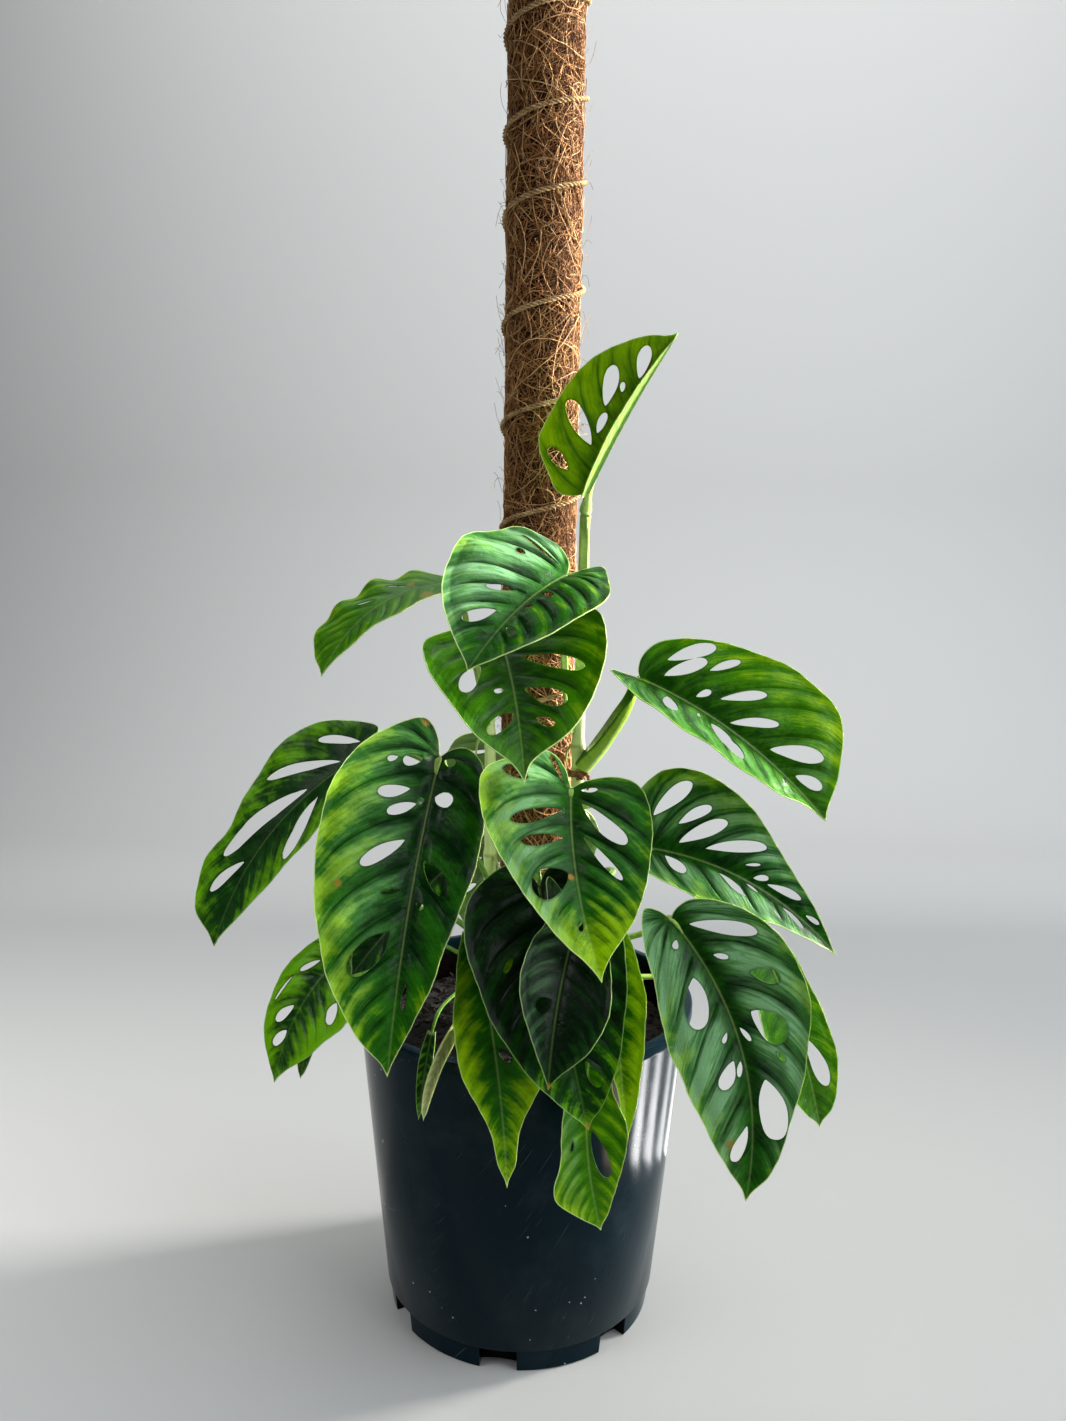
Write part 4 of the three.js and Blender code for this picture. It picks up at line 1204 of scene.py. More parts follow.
    def tone(self, along: Array, across: Array, share: Array, margin: Array) -> Array:
        """Works out how light each point of the blade is painted, the flesh's own tone with painted light
        and shade.

        Args:
            along: distance along the rib in millimetres.
            across: distance from the rib in millimetres, left positive.
            share: share of the way across the panel between two veins.
            margin: distance to the margin in millimetres.

        Returns:
            Numbers from 0, deep green, to 1, lime.
        """
        tone_and_shade = self.leaf.tone_and_shade
        width = np.where(across >= 0, self.leaf.left.width, self.leaf.right.width)
        reach = ease(np.abs(across) / width, 0.05, 0.8)
        outer = np.where(across >= 0, tone_and_shade.left, tone_and_shade.right)
        tone = tone_and_shade.rib + (outer - tone_and_shade.rib) * reach
        tone += tone_and_shade.tip * ease(along / self.length, 0.45, 1)
        # Painted light on one side of each panel between two veins, and painted shade along the rest.
        lit = ease(share, 0.0, 0.3) * (1 - ease(share, 0.35, 1.0))
        tone += self.leaf.relief * (0.42 * lit - 0.15) * ease(np.abs(across) / width, 0.0, 0.3)
        return tone + 0.1 * np.exp(-margin / 3.0)

    def painted_sheen(self, along: Array, across: Array, share: Array) -> Array:
        """Works out how much painted sheen, a pale colour standing in for the light's reflection, lies at
        each point of the blade, from 0 to 1.

        Args:
            along: distance along the rib in millimetres.
            across: distance from the rib in millimetres, left positive.
            share: share of the way across the panel between two veins.

        Returns:
            Numbers from 0, no sheen, to 1, full painted sheen.
        """
        tone_and_shade = self.leaf.tone_and_shade
        most = np.where(across >= 0, tone_and_shade.painted_sheen_left, tone_and_shade.painted_sheen_right)
        width = np.where(across >= 0, self.leaf.left.width, self.leaf.right.width)
        reach = np.abs(across) / width
        spread = ease(reach, 0.08, 0.45) * (1 - 0.75 * ease(reach, 0.6, 1.0))
        fade = 1 - 0.7 * ease(along / self.length, 0.45, 0.95)
        # The sheen is painted most on one side of each panel between two veins, the side that faces up.
        lit = ease(share, 0.0, 0.25) * (1 - ease(share, 0.3, 0.85))
        return most * spread * fade * (0.25 + 1.1 * lit)

    def scars(self, along: Array, across: Array) -> Array:
        """Works out how scarred each point of the blade is, from 0 to 1."""
        scar = np.zeros(len(along))
        for mark in self.leaf.marks:
            far = np.hypot(along - mark.share * self.length, across - mark.across)
            scar = np.maximum(scar, mark.strength * (1 - ease(far, 0.5 * mark.radius, mark.radius)))
        return scar

    def stalk(self) -> tuple[Array, Faces]:
        """Sweeps the leaf's stalk, channelled above and swollen below the blade."""
        shares = np.array([0.0, 0.1])
        place, _, _, normal = self.rib_at(shares)
        thick = self.leaf.stalk_radius
        under = place + normal * (shares * 2 - 0.6 * thick)[:, None]
        corners = np.vstack([np.array(self.leaf.stalk, dtype=float), under])
        path = smooth_line(corners, 2.2)
        t = np.linspace(0, 1, len(path))
        radii = thick * (1 - self.leaf.taper * t) * (1 + 0.25 * np.exp(-(((t - 0.84) / 0.045) ** 2)))
        radii *= 1 - 0.55 * ease(t, 0.9, 1.0)
        radii *= 1 + self.leaf.sheath * (1 - ease(t, 0.45, 0.85))
        return sweep(path, radii, self.stalk_sides, 0.45)


# The tones given to each leaf below are partly painted light and shade: halves turned from the light and
# leaves shaded by others are painted deeper, leaves lit through from behind are painted lime, and the
# painted sheen sits on the halves turned to the light.
LEAVES = (
    Leaf(
        "leaf_top", Slot.LIME, joint=(30, -30, 480), tip=(72, -58, 557), face=(-0.5, -0.9, -0.1), bow=-3,
        sway=-3,
        left=Half((3, 4), (5, 8, 10, 9, 6, 3), fold=90),
        right=Half((6, 14), (22, 35, 35, 33, 24, 12), fold=20, holes=(
            (0.07, 14, 0.13, 28, 6), (0.25, 9, 0.4, 30, 8), (0.32, 9, 0.44, 10, 4), (0.47, 12, 0.68, 18, 7),
            (0.58, 8, 0.63, 10, 2.5), (0.69, 4, 0.86, 9, 6),
        )),
        stalk_radius=3.3, stalk=((29, -19, 372.6), (30, -18, 400), (30, -18, 440), (30, -24, 466)),
        taper=0.2, tone_and_shade=ToneAndShade(0.7, 0.95, 0.8, 0.1),
        marks=(Mark(0.755, -2, 4, 0.8), Mark(0.363, -2, 2, 0.9)), relief=0.6,
    ),
    Leaf(
        "leaf_upper", Slot.GREEN, joint=(21, -42, 438), tip=(-28, -103, 394), face=(-0.1, -0.75, 0.6),
        bow=6, sway=2,
        left=Half((12, 18), (35, 40, 47, 42, 30, 12), fold=15, bend=10, holes=(
            (0, 7, 0.06, 31, 2), (0.15, 21, 0.17, 26, 4), (0.4, 8, 0.51, 20, 4.5), (0.6, 7, 0.77, 17, 6),
            (0.75, 3, 0.79, 7, 2),
        )),
        right=Half((20, 7), (26, 33, 33, 28, 19, 8), fold=12, holes=(
            (0.29, 2, 0.32, 11, 4.5), (0.46, 1.5, 0.46, 7, 3), (0.65, 3, 0.72, 12, 4.5),
        )),
        stalk_radius=2.4, stalk=((25, -22, 350), (21, -25, 380), (20, -26, 410), (21, -32, 430)),
        tone_and_shade=ToneAndShade(0.2, 0.38, 0.27, 0.08, 1.2, 0.0),
    ),
    Leaf(
        "leaf_middle", Slot.LIME, joint=(-15, -36, 405), tip=(0, -104, 340), face=(0, -0.72, 0.69), bow=6,
        sway=-2,
        left=Half((6, 14), (26, 44, 45, 36, 24, 6), fold=15, bend=10, holes=(
            (0.29, 16, 0.49, 28, 8), (0.45, 5, 0.48, 11, 3), (0.6, 2, 0.74, 17, 7),
        )),
        right=Half((7, 26), (44, 54, 52, 43, 28, 4), fold=12, bend=10, holes=(
            (0.24, 8, 0.44, 38, 8), (0.47, 6, 0.61, 26, 9), (0.66, 9, 0.72, 18, 4.5),
        )),
        stalk_radius=2.3, stalk=((-22, -14, 352), (-24, -20, 380), (-20, -28, 400)),
        tone_and_shade=ToneAndShade(0.0, 0.25, 0.45, 0.2), relief=0.6,
    ),
    Leaf(
        "leaf_left_upper", Slot.LIME, joint=(-46, -20, 431), tip=(-107, -55, 384), face=(-0.4, -0.42, 0.8),
        bow=12, sway=2,
        left=Half((6, 12), (24, 27, 28, 28, 26, 16), wave=2, waves=4, holes=(
            (0.2, 6, 0.3, 14, 2), (0.42, 6, 0.52, 14, 2),
        )),
        right=Half((4, 8), (17, 21, 21, 19, 13, 5), wave=1),
        stalk_radius=2.2, stalk=((-24, -12, 366), (-32, -12, 400), (-38, -14, 424)),
        tone_and_shade=ToneAndShade(0.3, 0.45, 0.42, 0.1), marks=(Mark(0.19, -16, 5, 0.6), Mark(0.17, 8, 3, 0.8)),
        relief=0.6,
    ),
    Leaf(
        "leaf_right_upper", Slot.LIME, joint=(61, -30, 382), tip=(158, -62, 312), face=(-0.1, -0.7, 0.7),
        bow=5, sway=-6,
        left=Half((15, 5), (21, 33, 37, 36, 27, 7), fold=40, holes=(
            (0.15, 9, 0.21, 24, 8), (0.3, 7, 0.31, 13, 2), (0.37, 9, 0.56, 24, 12), (0.75, 4, 0.76, 11, 2),
        )),
        right=Half((4, 12), (23, 36, 45, 50, 45, 21), fold=10, holes=(
            (0.07, 16, 0.21, 36, 7), (0.09, 7, 0.21, 26, 7), (0.24, 22, 0.32, 36, 4),
            (0.34, 11, 0.48, 28, 5), (0.25, 5, 0.29, 12, 3.5), (0.43, 3, 0.59, 19, 5),
            (0.63, 5, 0.81, 22, 8), (0.78, 4, 0.89, 10, 6),
        )),
        stalk_radius=3.2, stalk=((31, -22, 332), (40, -27, 344), (55, -31, 369)), sheath=0.9,
        tone_and_shade=ToneAndShade(0.05, 0.12, 0.52, 0.15, 0.25, 0.0), relief=0.6,
    ),
    Leaf(
        "leaf_right_middle", Slot.GREEN, joint=(68, -48, 292), tip=(165, -72, 242),
        face=(-0.1, -0.75, 0.65), bow=6, sway=-9,
        left=Half((8, 10), (16, 23, 25, 21, 12, 5), fold=20, holes=(
            (0.07, 3, 0.18, 13, 6), (0.33, 4, 0.48, 11, 5), (0.47, 1.5, 0.54, 3.5, 2.5),
            (0.67, 2, 0.81, 4, 4),
        )),
        right=Half((11, 28), (44, 47, 38, 22, 11, 4), fold=10, holes=(
            (-0.01, 18, 0.11, 40, 7), (0.1, 16, 0.21, 30, 5), (0.12, 6, 0.29, 25, 7),
            (0.24, 7, 0.48, 21, 6), (0.43, 7, 0.49, 11, 1.5), (0.49, 3, 0.55, 7, 3), (0.56, 4, 0.72, 8, 4),
            (0.78, 3, 0.85, 4.5, 2.5),
        )),
        stalk_radius=2.4, stalk=((31, -20, 308), (44, -32, 312), (58, -44, 302)),
        tone_and_shade=ToneAndShade(0.15, 0.5, 0.6, 0.0, 0.9, 0.9),
    ),
    Leaf(
        "leaf_right_lower", Slot.GREEN, joint=(76, -80, 264), tip=(113, -120, 131), face=(0, -0.95, 0.3),
        bow=6, sway=-17,
        left=Half((11, 8), (19, 28, 36, 34, 25, 12), fold=12, holes=(
            (0.065, 5, 0.085, 9, 3), (0.2, 9, 0.37, 19, 12), (0.42, 5, 0.45, 9, 2.5),
            (0.52, 6, 0.61, 15, 7), (0.53, 2, 0.58, 5, 3.5), (0.75, 3, 0.87, 10, 7),
        )),
        right=Half((2, 8), (16, 37, 42, 31, 18, 10), fold=15, holes=(
            (0.05, 6, 0.18, 32, 6), (0.17, 7, 0.2, 13, 2.5), (0.27, 19, 0.32, 31, 6),
            (0.38, 11, 0.49, 23, 12), (0.42, 2.5, 0.47, 6, 2.5), (0.52, 17, 0.55, 20, 2),
            (0.6, 8.5, 0.79, 12, 13),
        )),
        stalk_radius=2.5, stalk=((30, -23, 216), (48, -46, 238), (64, -68, 252)),
        tone_and_shade=ToneAndShade(0.15, 0.6, 0.45, 0.1, 1.8, 1.3), marks=(Mark(0.81, 12, 3, 0.7),),
    ),
    Leaf(
        "leaf_front", Slot.GREEN, joint=(24, -66, 329), tip=(38, -131, 250), face=(0, -0.8, 0.7), bow=6,
        sway=5,
        left=Half((20, 14), (46, 48, 41, 29, 17, 5), fold=15, holes=(
            (-0.03, 5, -0.17, 12, 3), (0.02, 24, -0.03, 37, 8), (0.15, 5, 0.24, 32, 6),
            (0.3, 5, 0.34, 27, 5.5), (0.48, 4, 0.56, 23, 13), (0.71, 2, 0.76, 3.5, 3),
        )),
        right=Half((5, 22), (33, 40, 40, 35, 25, 8), fold=12, holes=(
            (0.02, 5, 0.03, 14, 3.5), (0.11, 6, 0.38, 27, 8), (0.3, 6, 0.56, 22, 4),
        )),
        stalk_radius=2.4, stalk=((29, -21, 276), (29, -34, 300), (27, -52, 318)),
        tone_and_shade=ToneAndShade(0.2, 0.65, 0.25, 0.8, 1.0, 0.1), marks=(Mark(0.497, 3, 2.2, 0.9),),
    ),
    Leaf(
        "leaf_left_front", Slot.GREEN, joint=(-45, -54, 342), tip=(-65, -122, 196), face=(0.1, -0.9, 0.4),
        bow=10, sway=3,
        left=Half((18, 13), (36, 50, 52, 46, 33, 15), fold=15, holes=(
            (0.03, 9, 0.06, 19, 5.5), (0.05, 22, 0.07, 27, 3), (0.14, 12, 0.18, 28, 6),
            (0.18, 7, 0.23, 21, 5), (0.3, 9, 0.4, 29, 6.5), (0.45, 6, 0.47, 16, 2.5),
            (0.58, 8, 0.71, 25, 12),
        )),
        right=Half((6, 13), (22, 30, 31, 24, 16, 6), fold=18, holes=(
            (0.01, 3, 0.03, 10, 5), (0.14, 2.5, 0.16, 13, 8), (0.35, 4, 0.45, 19, 8), (0.48, 4, 0.5, 8, 3),
            (0.72, 5, 0.8, 4, 3),
        )),
        stalk_radius=2.5, stalk=((-22, -14, 302), (-30, -28, 314), (-40, -44, 328)),
        tone_and_shade=ToneAndShade(0.0, 0.58, 0.1, 0.42, 0.3, 0.0),
        marks=(Mark(0.464, 38, 2.5, 0.7), Mark(-0.097, 12, 2.5, 0.8)),
    ),
    Leaf(
        "leaf_left_back", Slot.DARK, joint=(-102, -6, 327), tip=(-178, -20, 222), face=(-0.6, -0.7, 0.5),
        bow=8, sway=9,
        left=Half((24, 9), (35, 43, 38, 30, 33, 25), fold=5, holes=(
            (-0.09, 8, 0.06, 27, 5), (0.02, 4, 0.32, 31, 6), (0.2, 3, 0.66, 21, 10), (0.62, 4, 0.81, 18, 6),
        )),
        right=Half((10, 12), (20, 26, 30, 28, 20, 8), fold=5, holes=((0.17, 8, 0.46, 26, 9),)),
        stalk_radius=2.2, stalk=((-22, -8, 300), (-50, -8, 326), (-80, -6, 336)),
        tone_and_shade=ToneAndShade(0.3, 0.7, 0.7, 0.1), relief=0.35,
    ),
    Leaf(
        "leaf_left_low", Slot.DARK, joint=(-100, -20, 222), tip=(-141, -38, 148), face=(-0.4, -0.8, 0.5),
        bow=5, sway=6,
        left=Half((8, 8), (14, 19, 22, 20, 14, 5), fold=5, holes=(
            (0.18, 7, 0.31, 13, 3), (0.36, 15, 0.54, 17, 1.5), (0.5, 4, 0.64, 10, 5),
            (0.66, 1.5, 0.78, 6, 5),
        )),
        right=Half((8, 12), (26, 32, 33, 28, 19, 7), fold=5, holes=((0.29, 20, 0.45, 23, 7),)),
        stalk_radius=2, stalk=((-20, -12, 222), (-50, -16, 244), (-82, -18, 240)),
        tone_and_shade=ToneAndShade(0.45, 1.0, 1.1, 0.15), relief=0.6,
    ),
    Leaf(
        "leaf_rim_small", Slot.LIME, joint=(34, -106, 198), tip=(41, -124, 117), face=(0, -1, 0.2), bow=3,
        sway=4,
        left=Half((5, 6), (8, 11, 12, 14, 19, 8), fold=8, holes=((0.45, 7, 0.51, 8, 1.5),)),
        right=Half((5, 6), (10, 13, 20, 19, 12, 6), fold=8, holes=((0.4, 3, 0.68, 9, 7),)),
        stalk_radius=1.7, stalk=((4, -29, 208), (20, -64, 220), (32, -96, 211)),
        tone_and_shade=ToneAndShade(0.3, 0.5, 0.42, 0.2, 0.4, 0.0), relief=0.8,
    ),
    Leaf(
        "leaf_rim_drooping", Slot.GREEN, joint=(-24, -92, 255), tip=(-6, -124, 139), face=(0, -0.98, 0.3),
        bow=5, sway=-3,
        left=Half((6, 5), (8, 14, 19, 17, 7, 4), fold=10),
        right=Half((6, 8), (14, 22, 26, 24, 9, 5), fold=10, holes=((0.44, 2, 0.49, 8, 5),)),
        stalk_radius=2, stalk=((4, -28, 228), (-4, -46, 250), (-17, -77, 262)),
        tone_and_shade=ToneAndShade(0.3, 0.75, 0.8, 0.4), relief=0.5,
    ),
    Leaf(
        "leaf_front_low", Slot.DARK, joint=(8, -86, 283), tip=(33, -134, 176), face=(0, -0.9, 0.5), bow=6,
        sway=1,
        left=Half((12, 14), (34, 42, 40, 34, 22, 9), fold=12, holes=((0.28, 20, 0.34, 26, 3),)),
        right=Half((10, 14), (28, 35, 36, 31, 22, 11), fold=12, holes=((0.73, 6, 0.84, 10, 5),)),
        stalk_radius=2.2, stalk=((4, -32, 254), (6, -52, 280), (7, -74, 290)),
        tone_and_shade=ToneAndShade(-0.15, -0.1, 0.0, 0.75, 0.0, 0.0), marks=(Mark(1.0, 0, 5, 0.7),),
    ),
    Leaf(
        "leaf_front_lowest", Slot.DARK, joint=(25, -107, 266), tip=(13, -146, 203), face=(0, -0.85, 0.5),
        bow=4, sway=2,
        left=Half((22, 20), (15, 19, 21, 17, 9, 3), fold=15, holes=((0.46, 3, 0.54, 10, 7),)),
        right=Half((8, 10), (14, 21, 25, 25, 18, 6), fold=15),
        stalk_radius=1.9,
        stalk=((29, -22, 256), (42, -46, 278), (46, -74, 287), (40, -97, 289), (31, -109, 278)),
        tone_and_shade=ToneAndShade(-0.25, -0.15, -0.1, 0.35, 0.2, 0.0), marks=(Mark(1.0, 0, 4, 0.8),), relief=0.7,
    ),
    Leaf(
        "leaf_right_narrow", Slot.GREEN, joint=(48, -78, 258), tip=(54, -115, 160), face=(0, -1, 0.3),
        bow=3, sway=2,
        left=Half((4, 6), (9, 13, 14, 10, 3, 1.5), fold=12),
        right=Half((4, 4), (5, 11, 15, 13, 9, 4), fold=12),
        stalk_radius=1.9, stalk=((29, -21, 226), (40, -42, 254), (47, -66, 264)),
        tone_and_shade=ToneAndShade(0.4, 0.8, 0.85, 0.6), marks=(Mark(1.0, 0, 6, 0.35),), relief=0.5,
    ),
    Leaf(
        "leaf_right_behind", Slot.LIME, joint=(141, -20, 218), tip=(171, -38, 125), face=(0.2, -0.9, 0.3),
        bow=4, sway=-2,
        left=Half((6, 10), (14, 18, 20, 19, 15, 7), fold=8),
        right=Half((6, 8), (14, 16, 18, 19, 16, 9), fold=8, holes=((0.48, 4, 0.77, 9, 8),)),
        stalk_radius=2, stalk=((31, -15, 214), (66, -12, 204), (108, -14, 210)),
        tone_and_shade=ToneAndShade(0.2, 0.35, 0.45, 0.05), relief=0.5,
    ),
    Leaf(
        "leaf_left_tiny", Slot.DARK, joint=(-124, -10, 186), tip=(-131, -16, 139), face=(-0.3, -0.9, 0.3),
        bow=2, sway=-2,
        left=Half((3, 3), (4, 6, 6.5, 6, 4, 2), fold=12),
        right=Half((3, 3), (4, 6, 6.5, 6, 4, 2), fold=12),
        stalk_radius=1.4, stalk=((-20, -8, 205), (-60, -8, 224), (-108, -8, 212)),
        tone_and_shade=ToneAndShade(0.3, 0.4, 0.4, 0.1), relief=0.4,
    ),
    Leaf(
        "leaf_rim_dark", Slot.DARK, joint=(-46, -96, 206), tip=(-52, -103, 163), face=(-0.2, -1, 0.2),
        bow=2, sway=0,
        left=Half((2, 2), (2.5, 3.5, 4, 3.5, 2.5, 1.2), fold=20),
        right=Half((2, 2), (2.5, 3.5, 4, 3.5, 2.5, 1.2), fold=20),
        stalk_radius=1.2, stalk=((-21, -12, 198), (-30, -54, 215), (-43, -86, 214)),
        tone_and_shade=ToneAndShade(0.3, 0.4, 0.4, 0.1),
    ),
    Leaf(
        "leaf_rim_withered", Slot.WITHERED, joint=(-33, -100, 212), tip=(-49, -108, 165), face=(0, -1, 0.1),
        bow=3, sway=3,
        left=Half((2, 3), (5, 7, 6.5, 5, 3, 1.4), fold=40, bend=50),
        right=Half((2, 3), (5, 7, 6.5, 5, 3, 1.4), fold=40, bend=50),
        stalk_radius=1.3, stalk=((4, -29, 202), (-13, -60, 219), (-27, -92, 218)),
        tone_and_shade=ToneAndShade(0.5, 0.6, 0.6, 0.1),
    ),
    Leaf(
        "leaf_left_inner", Slot.DARK, joint=(-38, -50, 284), tip=(-92, -66, 224), face=(-0.3, -0.8, 0.5),
        bow=4, sway=0,
        left=Half((5, 8), (15, 19, 21, 19, 13, 6), fold=10),
        right=Half((5, 8), (15, 19, 21, 19, 13, 6), fold=10, holes=((0.3, 5, 0.45, 15, 5),)),
        stalk_radius=1.6, stalk=((-21, -13, 262), (-27, -28, 280), (-33, -42, 290)),
        tone_and_shade=ToneAndShade(0.2, 0.3, 0.5, 0.0),
    ),
    Leaf(
        "leaf_back_upper", Slot.GREEN, joint=(-12, 48, 330), tip=(-34, 118, 246), face=(-0.2, 0.8, 0.6),
        bow=8, sway=3,
        left=Half((12, 13), (28, 34, 34, 27, 16, 6), fold=14, holes=(
            (0.12, 6, 0.22, 24, 6), (0.34, 6, 0.46, 22, 6),
        )),
        right=Half((12, 13), (28, 34, 34, 27, 16, 6), fold=14, holes=(
            (0.14, 6, 0.24, 24, 6), (0.38, 6, 0.52, 20, 6),
        )),
        stalk_radius=2.2, stalk=((-4, 28, 300), (-7, 32, 322), (-10, 40, 334)),
    ),
    Leaf(
        "leaf_back_lower", Slot.GREEN, joint=(-20, 66, 258), tip=(-30, 112, 172), face=(-0.1, 0.9, 0.5),
        bow=7, sway=-3,
        left=Half((9, 11), (22, 28, 29, 24, 15, 6), fold=14, holes=((0.2, 5, 0.32, 19, 6),)),
        right=Half((9, 11), (22, 28, 29, 24, 15, 6), fold=14, holes=(
            (0.16, 5, 0.28, 19, 6), (0.44, 5, 0.56, 16, 5),
        )),
        stalk_radius=2, stalk=((-4, 29, 246), (-8, 38, 262), (-14, 54, 266)),
    ),
    Leaf(
        "leaf_back_right", Slot.LIME, joint=(16, 58, 284), tip=(34, 106, 208), face=(0.2, 0.8, 0.6), bow=6,
        sway=0,
        left=Half((8, 10), (18, 24, 25, 20, 12, 5), fold=14, holes=((0.2, 5, 0.32, 16, 5),)),
        right=Half((8, 10), (18, 24, 25, 20, 12, 5), fold=14, holes=((0.2, 5, 0.32, 16, 5),)),
        stalk_radius=1.9, stalk=((2, 29, 266), (6, 34, 282), (12, 48, 290)),
        tone_and_shade=ToneAndShade(0.25, 0.5, 0.5, 0.1),
    ),
)


# Pot and soil


@dataclass(frozen=True)
class Pot:
    """A thin-walled nursery pot with a rolled lip, a foot ledge and corner drains."""

    rim_radius: float = 100.0
    mouth_radius: float = 94.0
    base_radius: float = 79.7
    height: float = 190.0
    wall: float = 2.4
    lip_drop: float = 7.0
    lip_overhang: float = 3.0
    ledge_height: float = 14.0
    ledge_step: float = 1.2
    floor: float = 5.0
    pad_radius: float = 40.0
    foot_width: float = 8.0
    channel: float = 2.5
    drains: int = 7
    first_drain: float = -98.0
    drain_width: float = 21.0
    drain_height: float = 13.0
    drain_depth: float = 9.0
    segments: int = 192
    sharp: float = 28.0

    def outer(self, height: float) -> float:
        """The wall's outer radius at a height."""
        lean = (self.rim_radius - self.lip_overhang - self.base_radius) / self.height
        return self.base_radius + lean * height

    def profile(self) -> Array:
        """Lists the section of pot, up the outside and back down the inside."""
        lip_foot = self.height - self.lip_drop
        foot = self.base_radius - self.foot_width
        ledge = self.ledge_height
        step = self.ledge_step
        top = self.height
        middle = (ledge + lip_foot) / 2
        return np.array(
            [
                (0, 0),
                (self.pad_radius, 0),
                (self.pad_radius + 2, self.channel),
                (foot - 2, self.channel),
                (foot, 0),
                (self.outer(0) - step - 0.6, 0),
                (self.outer(0) - step, 0.6),
                (self.outer(ledge) - step, ledge - 0.8),
                (self.outer(ledge) - 0.5, ledge - 0.5),
                (self.outer(ledge), ledge + 0.3),
                (self.outer(middle), middle),
                (self.outer(lip_foot - 3), lip_foot - 3),
                (self.outer(lip_foot), lip_foot - 0.4),
                (self.outer(lip_foot) + 0.4, lip_foot),
                (self.rim_radius - 0.7, lip_foot),
                (self.rim_radius, lip_foot + 0.7),
                (self.rim_radius, top - 1.6),
                (self.rim_radius - 0.5, top - 0.5),
                (self.rim_radius - 1.6, top),
                (self.mouth_radius + 1, top),
                (self.mouth_radius, top - 0.8),
                (self.outer(lip_foot) - self.wall, lip_foot - 3),
                (self.outer(self.floor) - self.wall - 1.5, self.floor + 1.5),
                (self.outer(self.floor) - self.wall - 3, self.floor),
                (0, self.floor),
            ],
            dtype=float,
        )

    def build(self, material: Material) -> Piece:
        """Turns the pot and cuts its drains.

        Args:
            material: the pot's plastic.

        Returns:
            The finished pot.
        """
        points, faces = turned(self.profile(), self.segments)
        piece = make_mesh("pot_look", points, faces, self.sharp)
        corners = []
        boxes: Faces = []
        box = [(0, 1, 3, 2), (4, 6, 7, 5), (0, 4, 5, 1), (2, 3, 7, 6), (0, 2, 6, 4), (1, 5, 7, 3)]
        near = self.base_radius - self.drain_depth
        for drain in range(self.drains):
            angle = math.radians(self.first_drain) + drain * TAU / self.drains
            ahead = np.array([math.cos(angle), math.sin(angle), 0])
            side = np.array([-math.sin(angle), math.cos(angle), 0])
            start = len(corners)
            for out in (near, near + 30):
                for wide in (-self.drain_width / 2, self.drain_width / 2):
                    for high in (-4.0, self.drain_height):
                        corners.append(ahead * out + side * wide + np.array([0, 0, high]))
            boxes += [tuple(start + c for c in face) for face in box]
        cutter = make_mesh("drain_cutter", np.array(corners), boxes)
        cut = piece.modifiers.new("drains", "BOOLEAN")
        cut.operation = "DIFFERENCE"
        cut.solver = "EXACT"
        cut.object = cutter
        bake(piece)
        bpy.data.objects.remove(cutter)
        piece.data.set_sharp_from_angle(angle=math.radians(self.sharp))
        places = np.array([v.co[:] for v in piece.data.vertices]) / MM
        radius = np.hypot(places[:, 0], places[:, 1])
        within = radius < self.outer(places[:, 2]) - 0.6 * self.wall
        # Marks the pot's inside for its painted shade.
        mark_points(piece, "inside", (within & (places[:, 2] < self.height - 2)).astype(float))
        seat(piece, Slot.POT, material, "pot")
        return piece


@dataclass(frozen=True)
class Soil:
    """Damp potting mix heaped in the pot, with bark chips over its top."""

    top: float = 166.0
    bottom: float = 5.4
    crown: float = 4.0
    inset: float = 2.2
    segments: int = 160
    chips: int = 1500
    chip: float = 2.6

    def build(self, pot: Pot, mix: Material, bark: Material) -> None:
        """Turns the heap, roughens its top and strews the chips.

        Args:
            pot: the pot that it fills.
            mix: the potting mix.
            bark: the chips' bark.
        """
        inner = pot.outer(self.top) - pot.wall - self.inset
        low = pot.outer(0) - pot.wall - self.inset - 12
        steps = 34
        rings = [
            (inner * (1 - k / steps), self.top + self.crown * ease(np.array(k / steps), 0, 1))
            for k in range(1, steps)
        ]
        wall = [(low, self.bottom), (low + 1, 16), (pot.outer(20) - pot.wall - self.inset, 20)]
        profile = np.array(
            [(0, self.bottom), *wall, (inner, self.top - 2), *rings, (0, self.top + self.crown)],
            dtype=float,
        )
        points, faces = turned(profile, self.segments)
        rough = noise_at(points, 9.0) * 2.2 + noise_at(points, 3.2) * 1.1
        points[:, 2] += rough * ease(points[:, 2], self.top - 3, self.top)
        heap = make_mesh("soil_look", points, faces, 70)
        seat(heap, Slot.SOIL, mix, "soil")
        patch = make_mesh("soil_chips", points, faces, 180)
        strew_chips(patch, self, bark)
        seat(patch, Slot.SOIL, bark)


def noise_at(points: Array, size: float) -> Array:
    """Gives smooth noise between -1 and 1 at each point.

    Args:
        points: places in millimetres.
        size: the noise's feature size in millimetres.

    Returns:
        One number per point.
    """
    return np.array([noise.noise(Vector(p / size)) for p in points])


def bake(piece: Piece) -> None:
    """Turns a piece's modifiers into its own mesh and takes them off."""
    bpy.context.view_layer.update()
    evaluated = piece.evaluated_get(bpy.context.evaluated_depsgraph_get())
    mesh = bpy.data.meshes.new_from_object(evaluated)
    piece.modifiers.clear()
    piece.data = mesh


# Things that repeat


